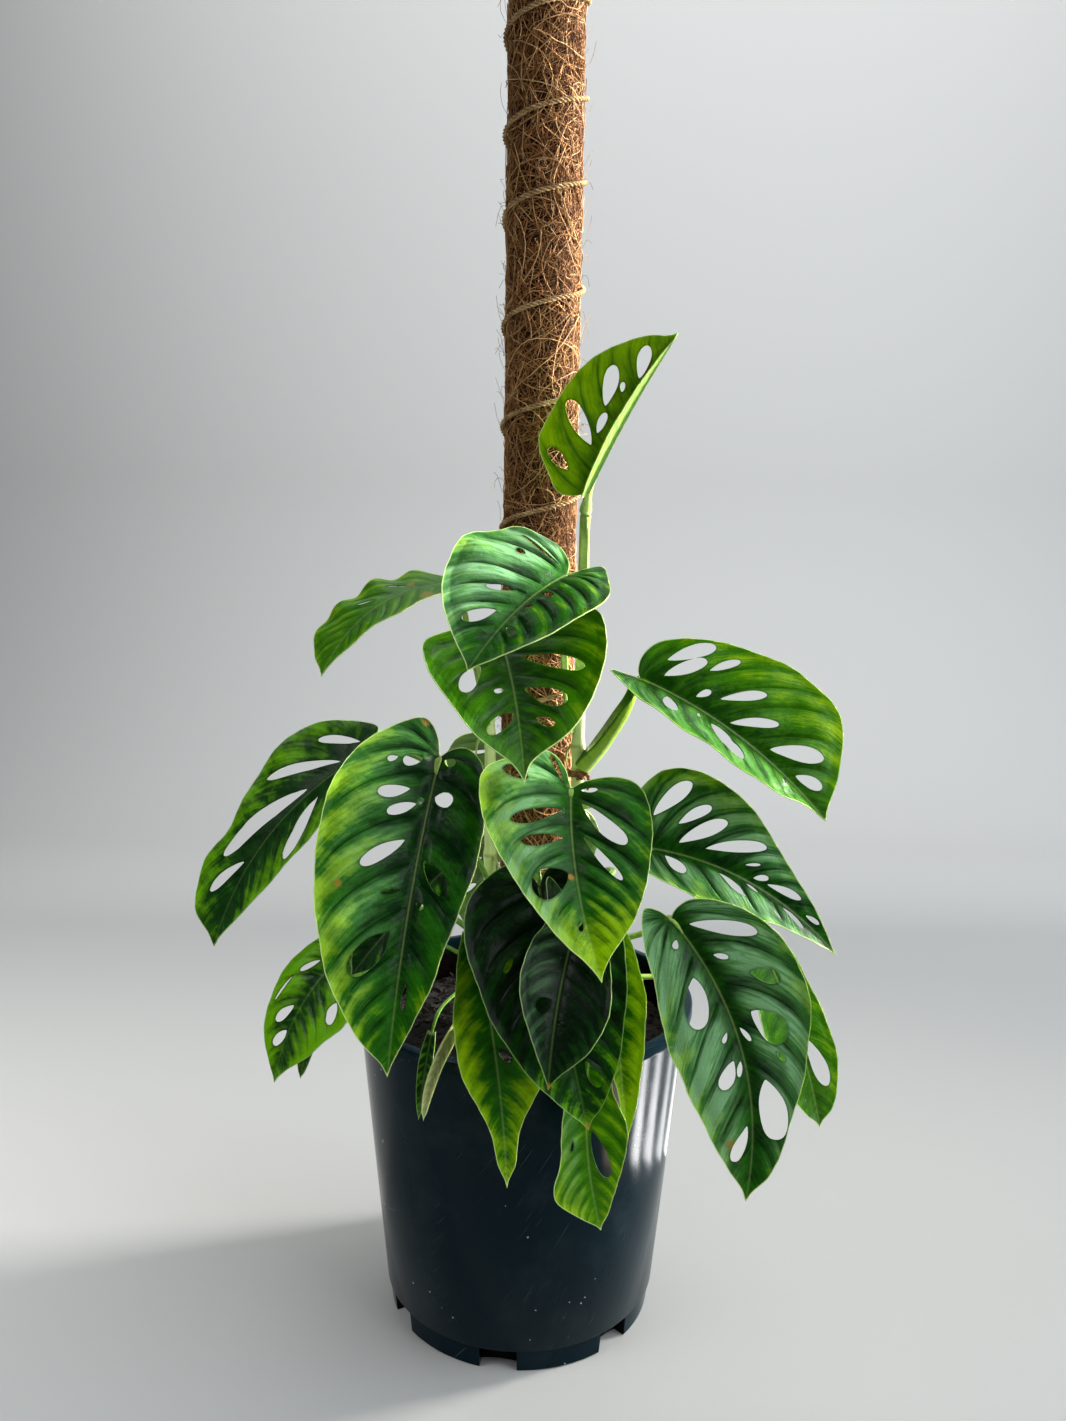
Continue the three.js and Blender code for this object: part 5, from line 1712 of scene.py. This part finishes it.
class Grower:
    """A Geometry Nodes tree with named inputs, which grows one piece."""

    def __init__(self, name: str) -> None:
        """Opens an empty tree with one geometry input and output.

        Args:
            name: what the tree grows.
        """
        self.tree = bpy.data.node_groups.new(name, "GeometryNodeTree")
        interface = self.tree.interface
        interface.new_socket("Geometry", in_out="INPUT", socket_type="NodeSocketGeometry")
        interface.new_socket("Geometry", in_out="OUTPUT", socket_type="NodeSocketGeometry")
        self.start = add_node(self.tree, "NodeGroupInput")
        self.values: dict[str, Setting] = {}

    def knob(self, name: str, value: float | int) -> Socket:
        """Adds a named number to the tree's inputs and returns its socket."""
        kind = "NodeSocketInt" if isinstance(value, int) else "NodeSocketFloat"
        socket = self.tree.interface.new_socket(name, in_out="INPUT", socket_type=kind)
        self.values[socket.identifier] = value
        return self.start.outputs[name]

    def grow(self, piece: Piece, result: Node, material: Material) -> None:
        """Realizes the tree's result into the piece's own mesh.

        Args:
            piece: the object that the tree grows on.
            result: the node that gives the finished geometry.
            material: the material that it is given.
        """
        real = add_node(self.tree, "GeometryNodeRealizeInstances", {"Geometry": result})
        dressed = add_node(self.tree, "GeometryNodeSetMaterial", {"Geometry": real, "Material": material})
        add_node(self.tree, "NodeGroupOutput", {"Geometry": dressed})
        modifier = piece.modifiers.new(self.tree.name, "NODES")
        modifier.node_group = self.tree
        for identifier, value in self.values.items():
            modifier[identifier] = value
        bake(piece)


def strew_chips(patch: Piece, soil: Soil, bark: Material) -> None:
    """Turns a copy of the heap into the loose chips that lie on its top.

    Args:
        patch: the copy of the heap.
        soil: the soil's sizes.
        bark: the chips' material.
    """
    grower = Grower("bark_chips")
    tree = grower.tree
    count = grower.knob("Chips", soil.chips)
    size = grower.knob("Chip size", soil.chip * MM)
    place = add_node(tree, "GeometryNodeInputPosition")
    height = add_node(tree, "ShaderNodeSeparateXYZ", {0: place})
    upper = add_node(tree, "ShaderNodeMath", {
        0: height.outputs[2], 1: (soil.top - 2.5) * MM,
    }, operation="GREATER_THAN")
    density = add_node(tree, "ShaderNodeMath", {0: count, 1: math.pi * 0.09**2}, operation="DIVIDE")
    points = add_node(tree, "GeometryNodeDistributePointsOnFaces", {
        "Mesh": grower.start, "Selection": upper, "Density": density, "Seed": 7,
    }, distribute_method="RANDOM")
    chip = add_node(tree, "GeometryNodeMeshIcoSphere", {"Radius": size, "Subdivisions": 1})
    turn = add_node(tree, "FunctionNodeRandomValue", {
        0: (-0.6, -0.6, 0.0), 1: (0.6, 0.6, TAU), "Seed": 3,
    }, data_type="FLOAT_VECTOR")
    shape = add_node(tree, "FunctionNodeRandomValue", {
        0: (0.35, 0.25, 0.12), 1: (1.7, 0.8, 0.4), "Seed": 5,
    }, data_type="FLOAT_VECTOR")
    laid = add_node(tree, "GeometryNodeInstanceOnPoints", {
        "Points": points, "Instance": chip, "Rotation": turn, "Scale": shape,
    })
    loose = add_node(tree, "GeometryNodeRealizeInstances", {"Geometry": laid})
    crumble = add_node(tree, "ShaderNodeTexNoise", {"Scale": 420.0, "Detail": 1.0})
    centred = add_node(tree, "ShaderNodeVectorMath", {
        0: crumble.outputs["Color"], 1: (0.5, 0.5, 0.5),
    }, operation="SUBTRACT")
    shift = add_node(tree, "ShaderNodeVectorMath", {0: centred, "Scale": 3.2 * MM}, operation="SCALE")
    ragged = add_node(tree, "GeometryNodeSetPosition", {"Geometry": loose, "Offset": shift})
    grower.grow(patch, ragged, bark)


@dataclass(frozen=True)
class Fibres:
    """One layer of loose coir fibres laid over the pole, in millimetres and degrees."""

    name: str
    count: int
    length: tuple[float, float]
    radius: tuple[float, float]
    lean: float
    bend: float
    lift: float
    thick: float
    steps: int
    seed: int
    wander: float = 2.2
    pale: tuple[float, float] = (0.0, 1.0)

    def grow(self, pole: Pole, material: Material) -> Piece:
        """Grows the layer round the pole.

        Args:
            pole: the pole's place and size.
            material: the fibres' material.

        Returns:
            The layer as one mesh.
        """
        piece = make_mesh(self.name, np.empty((0, 3)), [])
        grower = Grower(self.name)
        tree = grower.tree
        count = grower.knob("Fibres", self.count)
        seed = grower.knob("Seed", self.seed)
        thick = grower.knob("Thickness", self.thick / 2 * MM)
        wander = grower.knob("Wander", self.wander * MM)
        lift = grower.knob("Lift", self.lift * MM)
        seats = add_node(tree, "GeometryNodePoints", {"Count": count})
        line = add_node(tree, "GeometryNodeCurvePrimitiveLine")
        strand = add_node(tree, "GeometryNodeResampleCurve", {"Curve": line, "Count": self.steps})
        laid = add_node(tree, "GeometryNodeInstanceOnPoints", {"Points": seats, "Instance": strand})
        strands = add_node(tree, "GeometryNodeRealizeInstances", {"Geometry": laid})
        index = add_node(tree, "GeometryNodeCurveOfPoint")
        lean = math.radians(self.lean)
        bend = math.radians(self.bend)
        where = add_node(tree, "FunctionNodeRandomValue", {
            0: (0.0, pole.shown * MM, -lean), 1: (TAU, pole.top * MM, lean), "ID": index, "Seed": seed,
        }, data_type="FLOAT_VECTOR")
        spot = add_node(tree, "ShaderNodeSeparateXYZ", {0: where})
        later = add_node(tree, "ShaderNodeMath", {0: seed, 1: 50.0}, operation="ADD")
        form = add_node(tree, "FunctionNodeRandomValue", {
            0: (self.length[0] * MM, self.radius[0] * MM, -bend),
            1: (self.length[1] * MM, self.radius[1] * MM, bend), "ID": index, "Seed": later,
        }, data_type="FLOAT_VECTOR")
        size = add_node(tree, "ShaderNodeSeparateXYZ", {0: form})
        factor = add_node(tree, "GeometryNodeSplineParameter")
        middle = add_node(tree, "ShaderNodeMath", {0: factor, 1: 0.5}, operation="SUBTRACT")
        heading = add_node(tree, "ShaderNodeMath", {
            0: size.outputs[2], 1: middle, 2: spot.outputs[2],
        }, operation="MULTIPLY_ADD")
        reach = add_node(tree, "ShaderNodeMath", {0: middle, 1: size}, operation="MULTIPLY")
        sine = add_node(tree, "ShaderNodeMath", {0: heading}, operation="SINE")
        cosine = add_node(tree, "ShaderNodeMath", {0: heading}, operation="COSINE")
        round_way = add_node(tree, "ShaderNodeMath", {0: sine, 1: reach}, operation="MULTIPLY")
        up_way = add_node(tree, "ShaderNodeMath", {
            0: cosine, 1: reach, 2: spot.outputs[1],
        }, operation="MULTIPLY_ADD")
        phase = add_node(tree, "ShaderNodeMath", {0: factor, 1: 2.6}, operation="MULTIPLY")
        track = add_node(tree, "ShaderNodeCombineXYZ", {0: phase, 1: index})
        drift = add_node(tree, "ShaderNodeTexNoise", {
            "Vector": track, "Scale": 1.0, "Detail": 1.0,
        }, noise_dimensions="2D")
        centred = add_node(tree, "ShaderNodeVectorMath", {
            0: drift.outputs["Color"], 1: (0.5, 0.5, 0.5),
        }, operation="SUBTRACT")
        strayed = add_node(tree, "ShaderNodeVectorMath", {0: centred, "Scale": wander}, operation="SCALE")
        stray = add_node(tree, "ShaderNodeSeparateXYZ", {0: strayed})
        round_far = add_node(tree, "ShaderNodeMath", {0: round_way, 1: stray}, operation="ADD")
        up_far = add_node(tree, "ShaderNodeMath", {0: up_way, 1: stray.outputs[1]}, operation="ADD")
        height = add_node(tree, "ShaderNodeMath", {0: up_far, 1: pole.top * MM}, operation="MINIMUM")
        angle = add_node(tree, "ShaderNodeMath", {
            0: round_far, 1: 1 / (pole.radius * MM), 2: spot,
        }, operation="MULTIPLY_ADD")
        tail = add_node(tree, "ShaderNodeMath", {0: factor, 1: 2.0}, operation="POWER")
        raised = add_node(tree, "ShaderNodeMath", {
            0: tail, 1: lift, 2: size.outputs[1],
        }, operation="MULTIPLY_ADD")
        lifted = add_node(tree, "ShaderNodeMath", {
            0: stray.outputs[2], 1: 0.3, 2: raised,
        }, operation="MULTIPLY_ADD")
        flat = add_node(tree, "ShaderNodeCombineXYZ", {0: lifted, 2: height})
        turned_by = {"Vector": flat, "Angle": angle}
        spun = add_node(tree, "ShaderNodeVectorRotate", turned_by, rotation_type="Z_AXIS")
        middle_line = (pole.x * MM, pole.y * MM, 0.0)
        placed = add_node(tree, "ShaderNodeVectorMath", {0: spun, 1: middle_line}, operation="ADD")
        moved = add_node(tree, "GeometryNodeSetPosition", {"Geometry": strands, "Position": placed})
        shade = add_node(tree, "FunctionNodeRandomValue", {
            2: self.pale[0], 3: self.pale[1], "ID": index, "Seed": seed,
        }, data_type="FLOAT")
        marked = add_node(tree, "GeometryNodeStoreNamedAttribute", {
            "Geometry": moved, "Name": "strand", "Value": shade,
        }, data_type="FLOAT", domain="POINT")
        section = add_node(tree, "GeometryNodeCurvePrimitiveCircle", {"Resolution": 3, "Radius": thick})
        tube = add_node(tree, "GeometryNodeCurveToMesh", {
            "Curve": marked, "Profile Curve": section, "Fill Caps": True,
        })
        grower.grow(piece, tube, material)
        piece.data.shade_smooth()
        return piece


# Pole, twine and tie


@dataclass(frozen=True)
class Pole:
    """The climbing pole: coir matting round a wooden core, in millimetres."""

    x: float = 6.0
    y: float = 0.0
    radius: float = 19.5
    core: float = 9.3
    bottom: float = 20.0
    shown: float = 172.0
    top: float = 760.0

    def build(self, mat: Material, fibre: Material) -> None:
        """Makes the matting and the loose fibres over it.

        Args:
            mat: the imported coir.
            fibre: the loose fibres.
        """
        heights = np.linspace(self.bottom, self.top, 300)
        segments = 72
        angles = np.arange(segments) * TAU / segments
        grid = np.array([(a, z) for z in heights for a in angles])
        round_place = np.column_stack([np.cos(grid[:, 0]), np.sin(grid[:, 0])]) * self.radius
        places = np.column_stack([round_place, grid[:, 1]])
        rough = noise_at(places, 5.0) * 0.5 + noise_at(places, 1.9) * 0.35
        radii = self.radius - 0.9 + rough
        shell = np.column_stack(
            [
                self.x + radii * np.cos(grid[:, 0]),
                self.y + radii * np.sin(grid[:, 0]),
                grid[:, 1],
            ]
        )
        bore = [
            (self.x + self.core * math.cos(a), self.y + self.core * math.sin(a), z)
            for z in (self.top, self.bottom)
            for a in angles
        ]
        points = np.vstack([shell, np.array(bore)])
        loops = len(heights) + 2
        faces = []
        for ring in range(loops):
            here = ring * segments
            there = (ring + 1) % loops * segments
            for k in range(segments):
                turn = (k + 1) % segments
                faces.append((here + k, here + turn, there + turn, there + k))
        sleeve = make_mesh("coir_sleeve_look", points, faces, 60)
        seat(sleeve, Slot.COIR, mat, "coir_sleeve")
        low, high = self.radius - 0.9, self.radius + 0.4
        over = high + 0.3
        layers = (
            Fibres("coir_long", 3200, (26, 50), (low, high), 80, 60, 0.4, 0.48, 7, 11, 3.0, (0.05, 0.85)),
            Fibres("coir_cross", 3200, (14, 32), (low, high), 90, 110, 0.9, 0.45, 7, 23, 3.0, (0.1, 1.0)),
            Fibres("coir_bold", 260, (40, 80), (high, over), 90, 110, 0.8, 0.6, 14, 31, 7.0, (0.6, 1.0)),
            Fibres("coir_stray", 320, (14, 34), (high - 0.4, high), 90, 150, 6.0, 0.24, 9, 37, 9.0),
        )
        for layer in layers:
            seat(layer.grow(self, fibre), Slot.COIR, fibre)


@dataclass(frozen=True)
class Twine:
    """One length of three-strand jute wound tightly up the pole, in millimetres."""

    radius: float = 1.4
    side_heights: tuple[float, ...] = (272, 324, 376, 428, 480, 535, 587, 642, 683, 731)
    front_rise: float = 18.0
    stand_off: float = 1.1
    strand: float = 0.74
    twist: float = 8.5
    steps: int = 48
    soft: int = 12
    steps_a_turn: int = 11

    def build(self, pole: Pole, material: Material) -> Piece:
        """Winds the twine and twists its strands.

        Args:
            pole: the pole that it goes round.
            material: the jute.

        Returns:
            The finished twine.
        """
        reach = pole.radius + self.stand_off + self.radius - 0.5
        corners = [z for side in self.side_heights for z in (side - self.front_rise, side)]
        count = (len(corners) - 1) * self.steps
        halves = np.arange(count + 1) / self.steps
        angle = math.pi * (halves - 1)
        span = 2 * self.soft + 1
        rise = np.interp(halves, np.arange(len(corners)), corners)
        rise = np.convolve(np.pad(rise, self.soft, "edge"), np.full(span, 1 / span), "valid")
        path = np.column_stack([pole.x + reach * np.cos(angle), pole.y + reach * np.sin(angle), rise])
        wire = make_mesh("twine_look", path, [])
        wire.data.edges.add(count)
        pairs = np.column_stack([np.arange(count), np.arange(1, count + 1)])
        wire.data.edges.foreach_set("vertices", pairs.ravel())
        length = float(np.linalg.norm(np.diff(path, axis=0), axis=1).sum())
        grower = Grower("twisted_twine")
        tree = grower.tree
        strand = grower.knob("Strand radius", self.strand * MM)
        turns = grower.knob("Twist", TAU * length / self.twist)
        steps = grower.knob("Steps", round(length / self.twist * self.steps_a_turn))
        curve = add_node(tree, "GeometryNodeMeshToCurve", {"Mesh": grower.start})
        fine = add_node(tree, "GeometryNodeResampleCurve", {"Curve": curve, "Count": steps})
        factor = add_node(tree, "GeometryNodeSplineParameter")
        tilt = add_node(tree, "ShaderNodeMath", {0: factor, 1: turns}, operation="MULTIPLY")
        twisted = add_node(tree, "GeometryNodeSetCurveTilt", {"Curve": fine, "Tilt": tilt})
        section = add_node(tree, "GeometryNodeCurvePrimitiveCircle", {"Resolution": 6, "Radius": strand})
        joined = add_node(tree, "GeometryNodeJoinGeometry")
        for number in range(3):
            turn = number * TAU / 3
            off = (self.radius - self.strand) * MM
            moved = add_node(tree, "GeometryNodeTransform", {
                "Geometry": section, "Translation": (off * math.cos(turn), off * math.sin(turn), 0.0),
            })
            feed(tree, joined, {0: moved})
        rope = add_node(tree, "GeometryNodeCurveToMesh", {
            "Curve": twisted, "Profile Curve": joined, "Fill Caps": True,
        })
        grower.grow(wire, rope, material)
        wire.data.shade_smooth()
        seat(wire, Slot.JUTE, material, "twine")
        return wire


@dataclass(frozen=True)
class Tie:
    """A tie of coir cord twice round the right stem, in millimetres."""

    x: float = 29.0
    y: float = -19.0
    height: float = 326.0
    ring_radius: float = 5.4
    cord_radius: float = 1.0

    def build(self, material: Material) -> Piece:
        """Winds the cord and leaves its two short ends."""
        turns = np.linspace(0, 2.15 * TAU, 120)
        rise = self.height - 1.6 + 3.4 * turns / turns[-1]
        reach = self.ring_radius + 0.25 * np.sin(3 * turns)
        path = np.column_stack(
            [self.x + reach * np.cos(turns - 1.7), self.y + reach * np.sin(turns - 1.7), rise]
        )
        end = path[-1] + np.array([[1.5, -2.5, -1.5], [2.5, -4.0, -5.0], [1.5, -4.5, -9.0]])
        path = np.vstack([path, end])
        ridges = 1 + 0.12 * np.sin(np.arange(len(path)) * 1.9)
        points, faces = sweep(path, self.cord_radius * ridges, 8)
        piece = make_mesh("stem_tie_look", points, faces)
        seat(piece, Slot.JUTE, material, "stem_tie")
        return piece


# Stems


@dataclass(frozen=True)
class Stem:
    """A climbing stem with swollen joints and short aerial roots, in millimetres."""

    name: str
    radius: tuple[float, float]
    path: tuple[Place, ...]
    joints: tuple[float, ...]
    sides: int = 20

    def build(self, number: int, material: Material) -> Piece:
        """Sweeps the stem, swells its joints and adds a root stub at each.

        Args:
            number: its place in the list, which shifts its streaks.
            material: the stems' material.

        Returns:
            The finished stem.
        """
        path = smooth_line(np.array(self.path, dtype=float), 1.6)
        t = np.linspace(0, 1, len(path))
        start, end = self.radius
        radii = start + (end - start) * t
        scar = np.zeros(len(path))
        for joint in self.joints:
            far = path[:, 2] - joint
            knot = 0.16 * np.exp(-((far / 3.2) ** 2))
            radii = radii * (1 + knot - 0.05 * np.exp(-(((far - 5) / 2) ** 2)))
            scar = np.maximum(scar, 0.75 * np.exp(-((far / 0.8) ** 2)))
        points, faces = sweep(path, radii, self.sides, 0.12, (0.3, -1.0, 0.1))
        tone = [np.repeat(0.45 + 0.4 * t, self.sides), np.array([0.4, 0.8])]
        marks = [np.repeat(scar, self.sides), np.zeros(2)]
        along = [np.repeat(path[:, 2], self.sides), path[[0, -1], 2]]
        way_round = np.arange(self.sides) * start * TAU / self.sides
        across = [np.tile(way_round, len(path)), np.zeros(2)]
        for order, joint in enumerate(self.joints):
            spot = path[np.argmin(np.abs(path[:, 2] - joint))]
            turn = 2.2 * order + number
            out = np.array([math.cos(turn), math.sin(turn), 0])
            track = spot + np.array(
                [out * 2, out * 5 + [0, 0, -1], out * 7.5 + [0, 0, -5], out * 8 + [0, 0, -11]]
            )
            root = smooth_line(track, 1.2)
            more, skins = sweep(root, np.linspace(1.1, 0.5, len(root)), 8)
            faces += [tuple(c + len(points) for c in face) for face in skins]
            points = np.vstack([points, more])
            tone.append(np.full(len(more), 0.15))
            marks.append(np.full(len(more), 0.6))
            along.append(np.full(len(more), joint))
            across.append(np.zeros(len(more)))
        piece = make_mesh(self.name + "_look", points, faces)
        mark_points(piece, "tone", np.concatenate(tone))
        mark_points(piece, "scar", np.concatenate(marks))
        lengthwise = np.column_stack([np.concatenate(along) + 300 * number, np.concatenate(across)])
        lay_map(piece, "blade", lengthwise)
        seat(piece, Slot.STEM, material, self.name)
        return piece


STEMS = (
    Stem("stem_right", (4.2, 3.4), (
        (33, -24, 152), (30, -21, 190), (29, -19, 240), (29, -19, 310), (29, -19, 372),
    ), (196, 232, 268, 303, 342)),
    Stem("stem_left", (4.0, 3.0), (
        (-24, -14, 152), (-21, -12, 200), (-20, -11, 260), (-20, -11, 320), (-21, -12, 362),
    ), (198, 238, 276, 314, 346)),
    Stem("stem_front", (3.6, 2.8), ((2, -36, 152), (4, -30, 190), (5, -27, 225), (6, -27, 262)), (200, 234)),
    Stem("stem_back", (3.8, 2.8), (
        (-4, 34, 152), (-3, 28, 200), (-2, 26, 250), (-2, 26, 304),
    ), (204, 246, 284)),
)


# Stage, light and camera


@dataclass(frozen=True)
class Stage:
    """A pale floor that sweeps up into a plain backdrop, in metres."""

    floor: str = "#9C9D9C"
    half_width: float = 3.2
    front: float = -3.2
    back: float = 1.5
    rise: float = 2.6
    curve: float = 0.55

    def build(self) -> None:
        """Makes the sweep and gives it a matt paper material."""
        bend = np.linspace(0, math.pi / 2, 24)
        foot = self.back - self.curve
        section = [(self.front, 0.0)]
        section += [(foot + self.curve * math.sin(a), self.curve * (1 - math.cos(a))) for a in bend]
        section.append((self.back, self.rise))
        points = np.array([(x, y, z) for y, z in section for x in (-self.half_width, self.half_width)])
        faces = [(2 * k, 2 * k + 1, 2 * k + 3, 2 * k + 2) for k in range(len(section) - 1)]
        sweep_mesh = make_mesh("studio_sweep", points / MM, faces)
        material, tree, shader = new_material("matt_paper_roll")
        feed(tree, shader, {
            "Base Color": linear(self.floor), "Roughness": 0.85, "Specular IOR Level": 0.0,
        })
        sweep_mesh.data.materials.append(material)


@dataclass(frozen=True)
class Lamp:
    """A soft area light, in metres and watts."""

    name: str
    place: Place
    target: Place
    size: tuple[float, float]
    power: float
    colour: str = "#FFFFFF"
    only_glints: bool = False
    spread: float = 180.0

    @classmethod
    def streak(cls, turn: float, wide: float, power: float, colour: str = "#FFFFFF") -> "Lamp":
        """Lays a strip on the floor beside the pot that shows only as a streak in its side.

        Args:
            turn: the way the strip runs from the pot, in degrees from the X axis.
            wide: its width.
            power: its power.
            colour: its colour.

        Returns:
            The strip.
        """
        side, long, height = 0.088, 0.26, 0.012
        way = math.radians(turn)
        # The pot's side mirrors a strip where it faces halfway between it and the camera
        lean = math.radians((turn + 81) / 2)
        x = side * math.sin(lean) + long * math.cos(way)
        y = long * math.sin(way) - side * math.cos(lean)
        above = (x + 0.05 * math.cos(way), y + 0.05 * math.sin(way), 1.0)
        return cls("floor_streak", (x, y, height), above, (wide, long), power, colour, True)

    def build(self) -> None:
        """Hangs the light and turns it to its target."""
        data = bpy.data.lights.new(self.name, "AREA")
        data.shape = "RECTANGLE"
        data.size, data.size_y = self.size
        data.energy = self.power
        data.spread = math.radians(self.spread)
        data.color = linear(self.colour)[:3]
        lamp = bpy.data.objects.new(self.name, data)
        lamp.location = self.place
        way = Vector(self.target) - Vector(self.place)
        lamp.rotation_euler = way.to_track_quat("-Z", "Y").to_euler()
        lamp.visible_camera = False
        lamp.visible_diffuse = not self.only_glints
        bpy.context.scene.collection.objects.link(lamp)


LAMPS = (
    Lamp("window", (1.3, -0.5, 1.15), (0.0, 0.0, 0.42), (1.7, 2.0), 48.0, "#F6FAFF"),
    Lamp("window_edge", (1.5, 0.45, 0.8), (0.0, 0.0, 0.48), (0.3, 0.6), 10.0, "#FFFAF2", spread=40.0),
    Lamp("room_left", (-1.2, -0.5, 1.0), (-0.7, 0.0, 0.0), (0.9, 0.9), 4.5, spread=70.0),
    Lamp("room_top", (-0.2, 0.3, 1.9), (0.0, 0.0, 0.3), (1.2, 1.2), 4.0),
    Lamp("backdrop", (0.35, 0.85, 1.8), (0.35, 1.4, 0.4), (2.4, 0.5), 24.0),
    Lamp("backdrop_low", (0.35, 0.6, 0.6), (0.35, 1.5, 0.62), (2.2, 0.6), 9.0),
    Lamp.streak(-16.0, 0.05, 0.7, "#E8C9A4"),
    Lamp.streak(8.0, 0.026, 1.1),
    Lamp.streak(24.0, 0.034, 0.62),
    Lamp.streak(44.0, 0.034, 0.2),
    Lamp.streak(64.0, 0.04, 0.11),
)


@dataclass(frozen=True)
class Camera:
    """The camera at the photograph's place, in metres, degrees and millimetres of lens."""

    place: Place = (0.0036, -0.6332, 0.4626)
    tilt: float = 80.65
    roll: float = 0.79
    lens: float = 28.45
    film: float = 36.0

    def build(self) -> None:
        """Sets the camera up and makes it the scene's own."""
        data = bpy.data.cameras.new("photo_camera")
        data.lens = self.lens
        data.sensor_fit = "VERTICAL"
        data.sensor_height = self.film
        data.clip_start = 0.01
        camera = bpy.data.objects.new("photo_camera", data)
        tilt = Matrix.Rotation(math.radians(self.tilt), 4, "X")
        roll = Matrix.Rotation(math.radians(self.roll), 4, "Z")
        camera.matrix_world = Matrix.Translation(self.place) @ tilt @ roll
        bpy.context.scene.collection.objects.link(camera)
        bpy.context.scene.camera = camera


def light_room(colour: str, strength: float) -> None:
    """Fills the room with an even light.

    Args:
        colour: the light's colour.
        strength: how bright it is.
    """
    world = bpy.data.worlds.new("soft_room")
    world.use_nodes = True
    back = world.node_tree.nodes["Background"]
    feed(world.node_tree, back, {"Color": linear(colour), "Strength": strength})
    bpy.context.scene.world = world


def main() -> None:
    """Builds the pot, the pole, the stems and the leaves, and the studio round them."""
    logging.basicConfig(level=logging.INFO, format="%(message)s")
    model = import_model()
    pot = Pot()
    pole = Pole()
    pot.build(POT_FINISH.build())
    Soil().build(pot, SHADED_SOIL_FINISH.build(), SHADED_CHIP_FINISH.build())
    core = model["nodes"]["pole_core"]
    wood = WOOD_FINISH.build()
    for place in range(len(core.data.materials)):
        core.data.materials[place] = wood
    pole.build(COIR_GAP_SHADE_FINISH.build(), COIR_FIBRE_FINISH.build())
    jute = JUTE_FINISH.build()
    Twine().build(pole, jute)
    Tie().build(COIR_CORD_FINISH.build())
    bark = STEM_FINISH.build()
    for number, stem in enumerate(STEMS):
        stem.build(number, bark)
    skins = {slot: finish.build() for slot, finish in LEAF_FINISHES.items()}
    for number, leaf in enumerate(LEAVES):
        Blade(leaf, number).build(skins[leaf.slot])
    Stage().build()
    for lamp in LAMPS:
        lamp.build()
    light_room("#DDE4EA", 0.16)
    bpy.context.scene.view_settings.view_transform = "Standard"
    Camera().build()


if __name__ == "__main__":
    main()
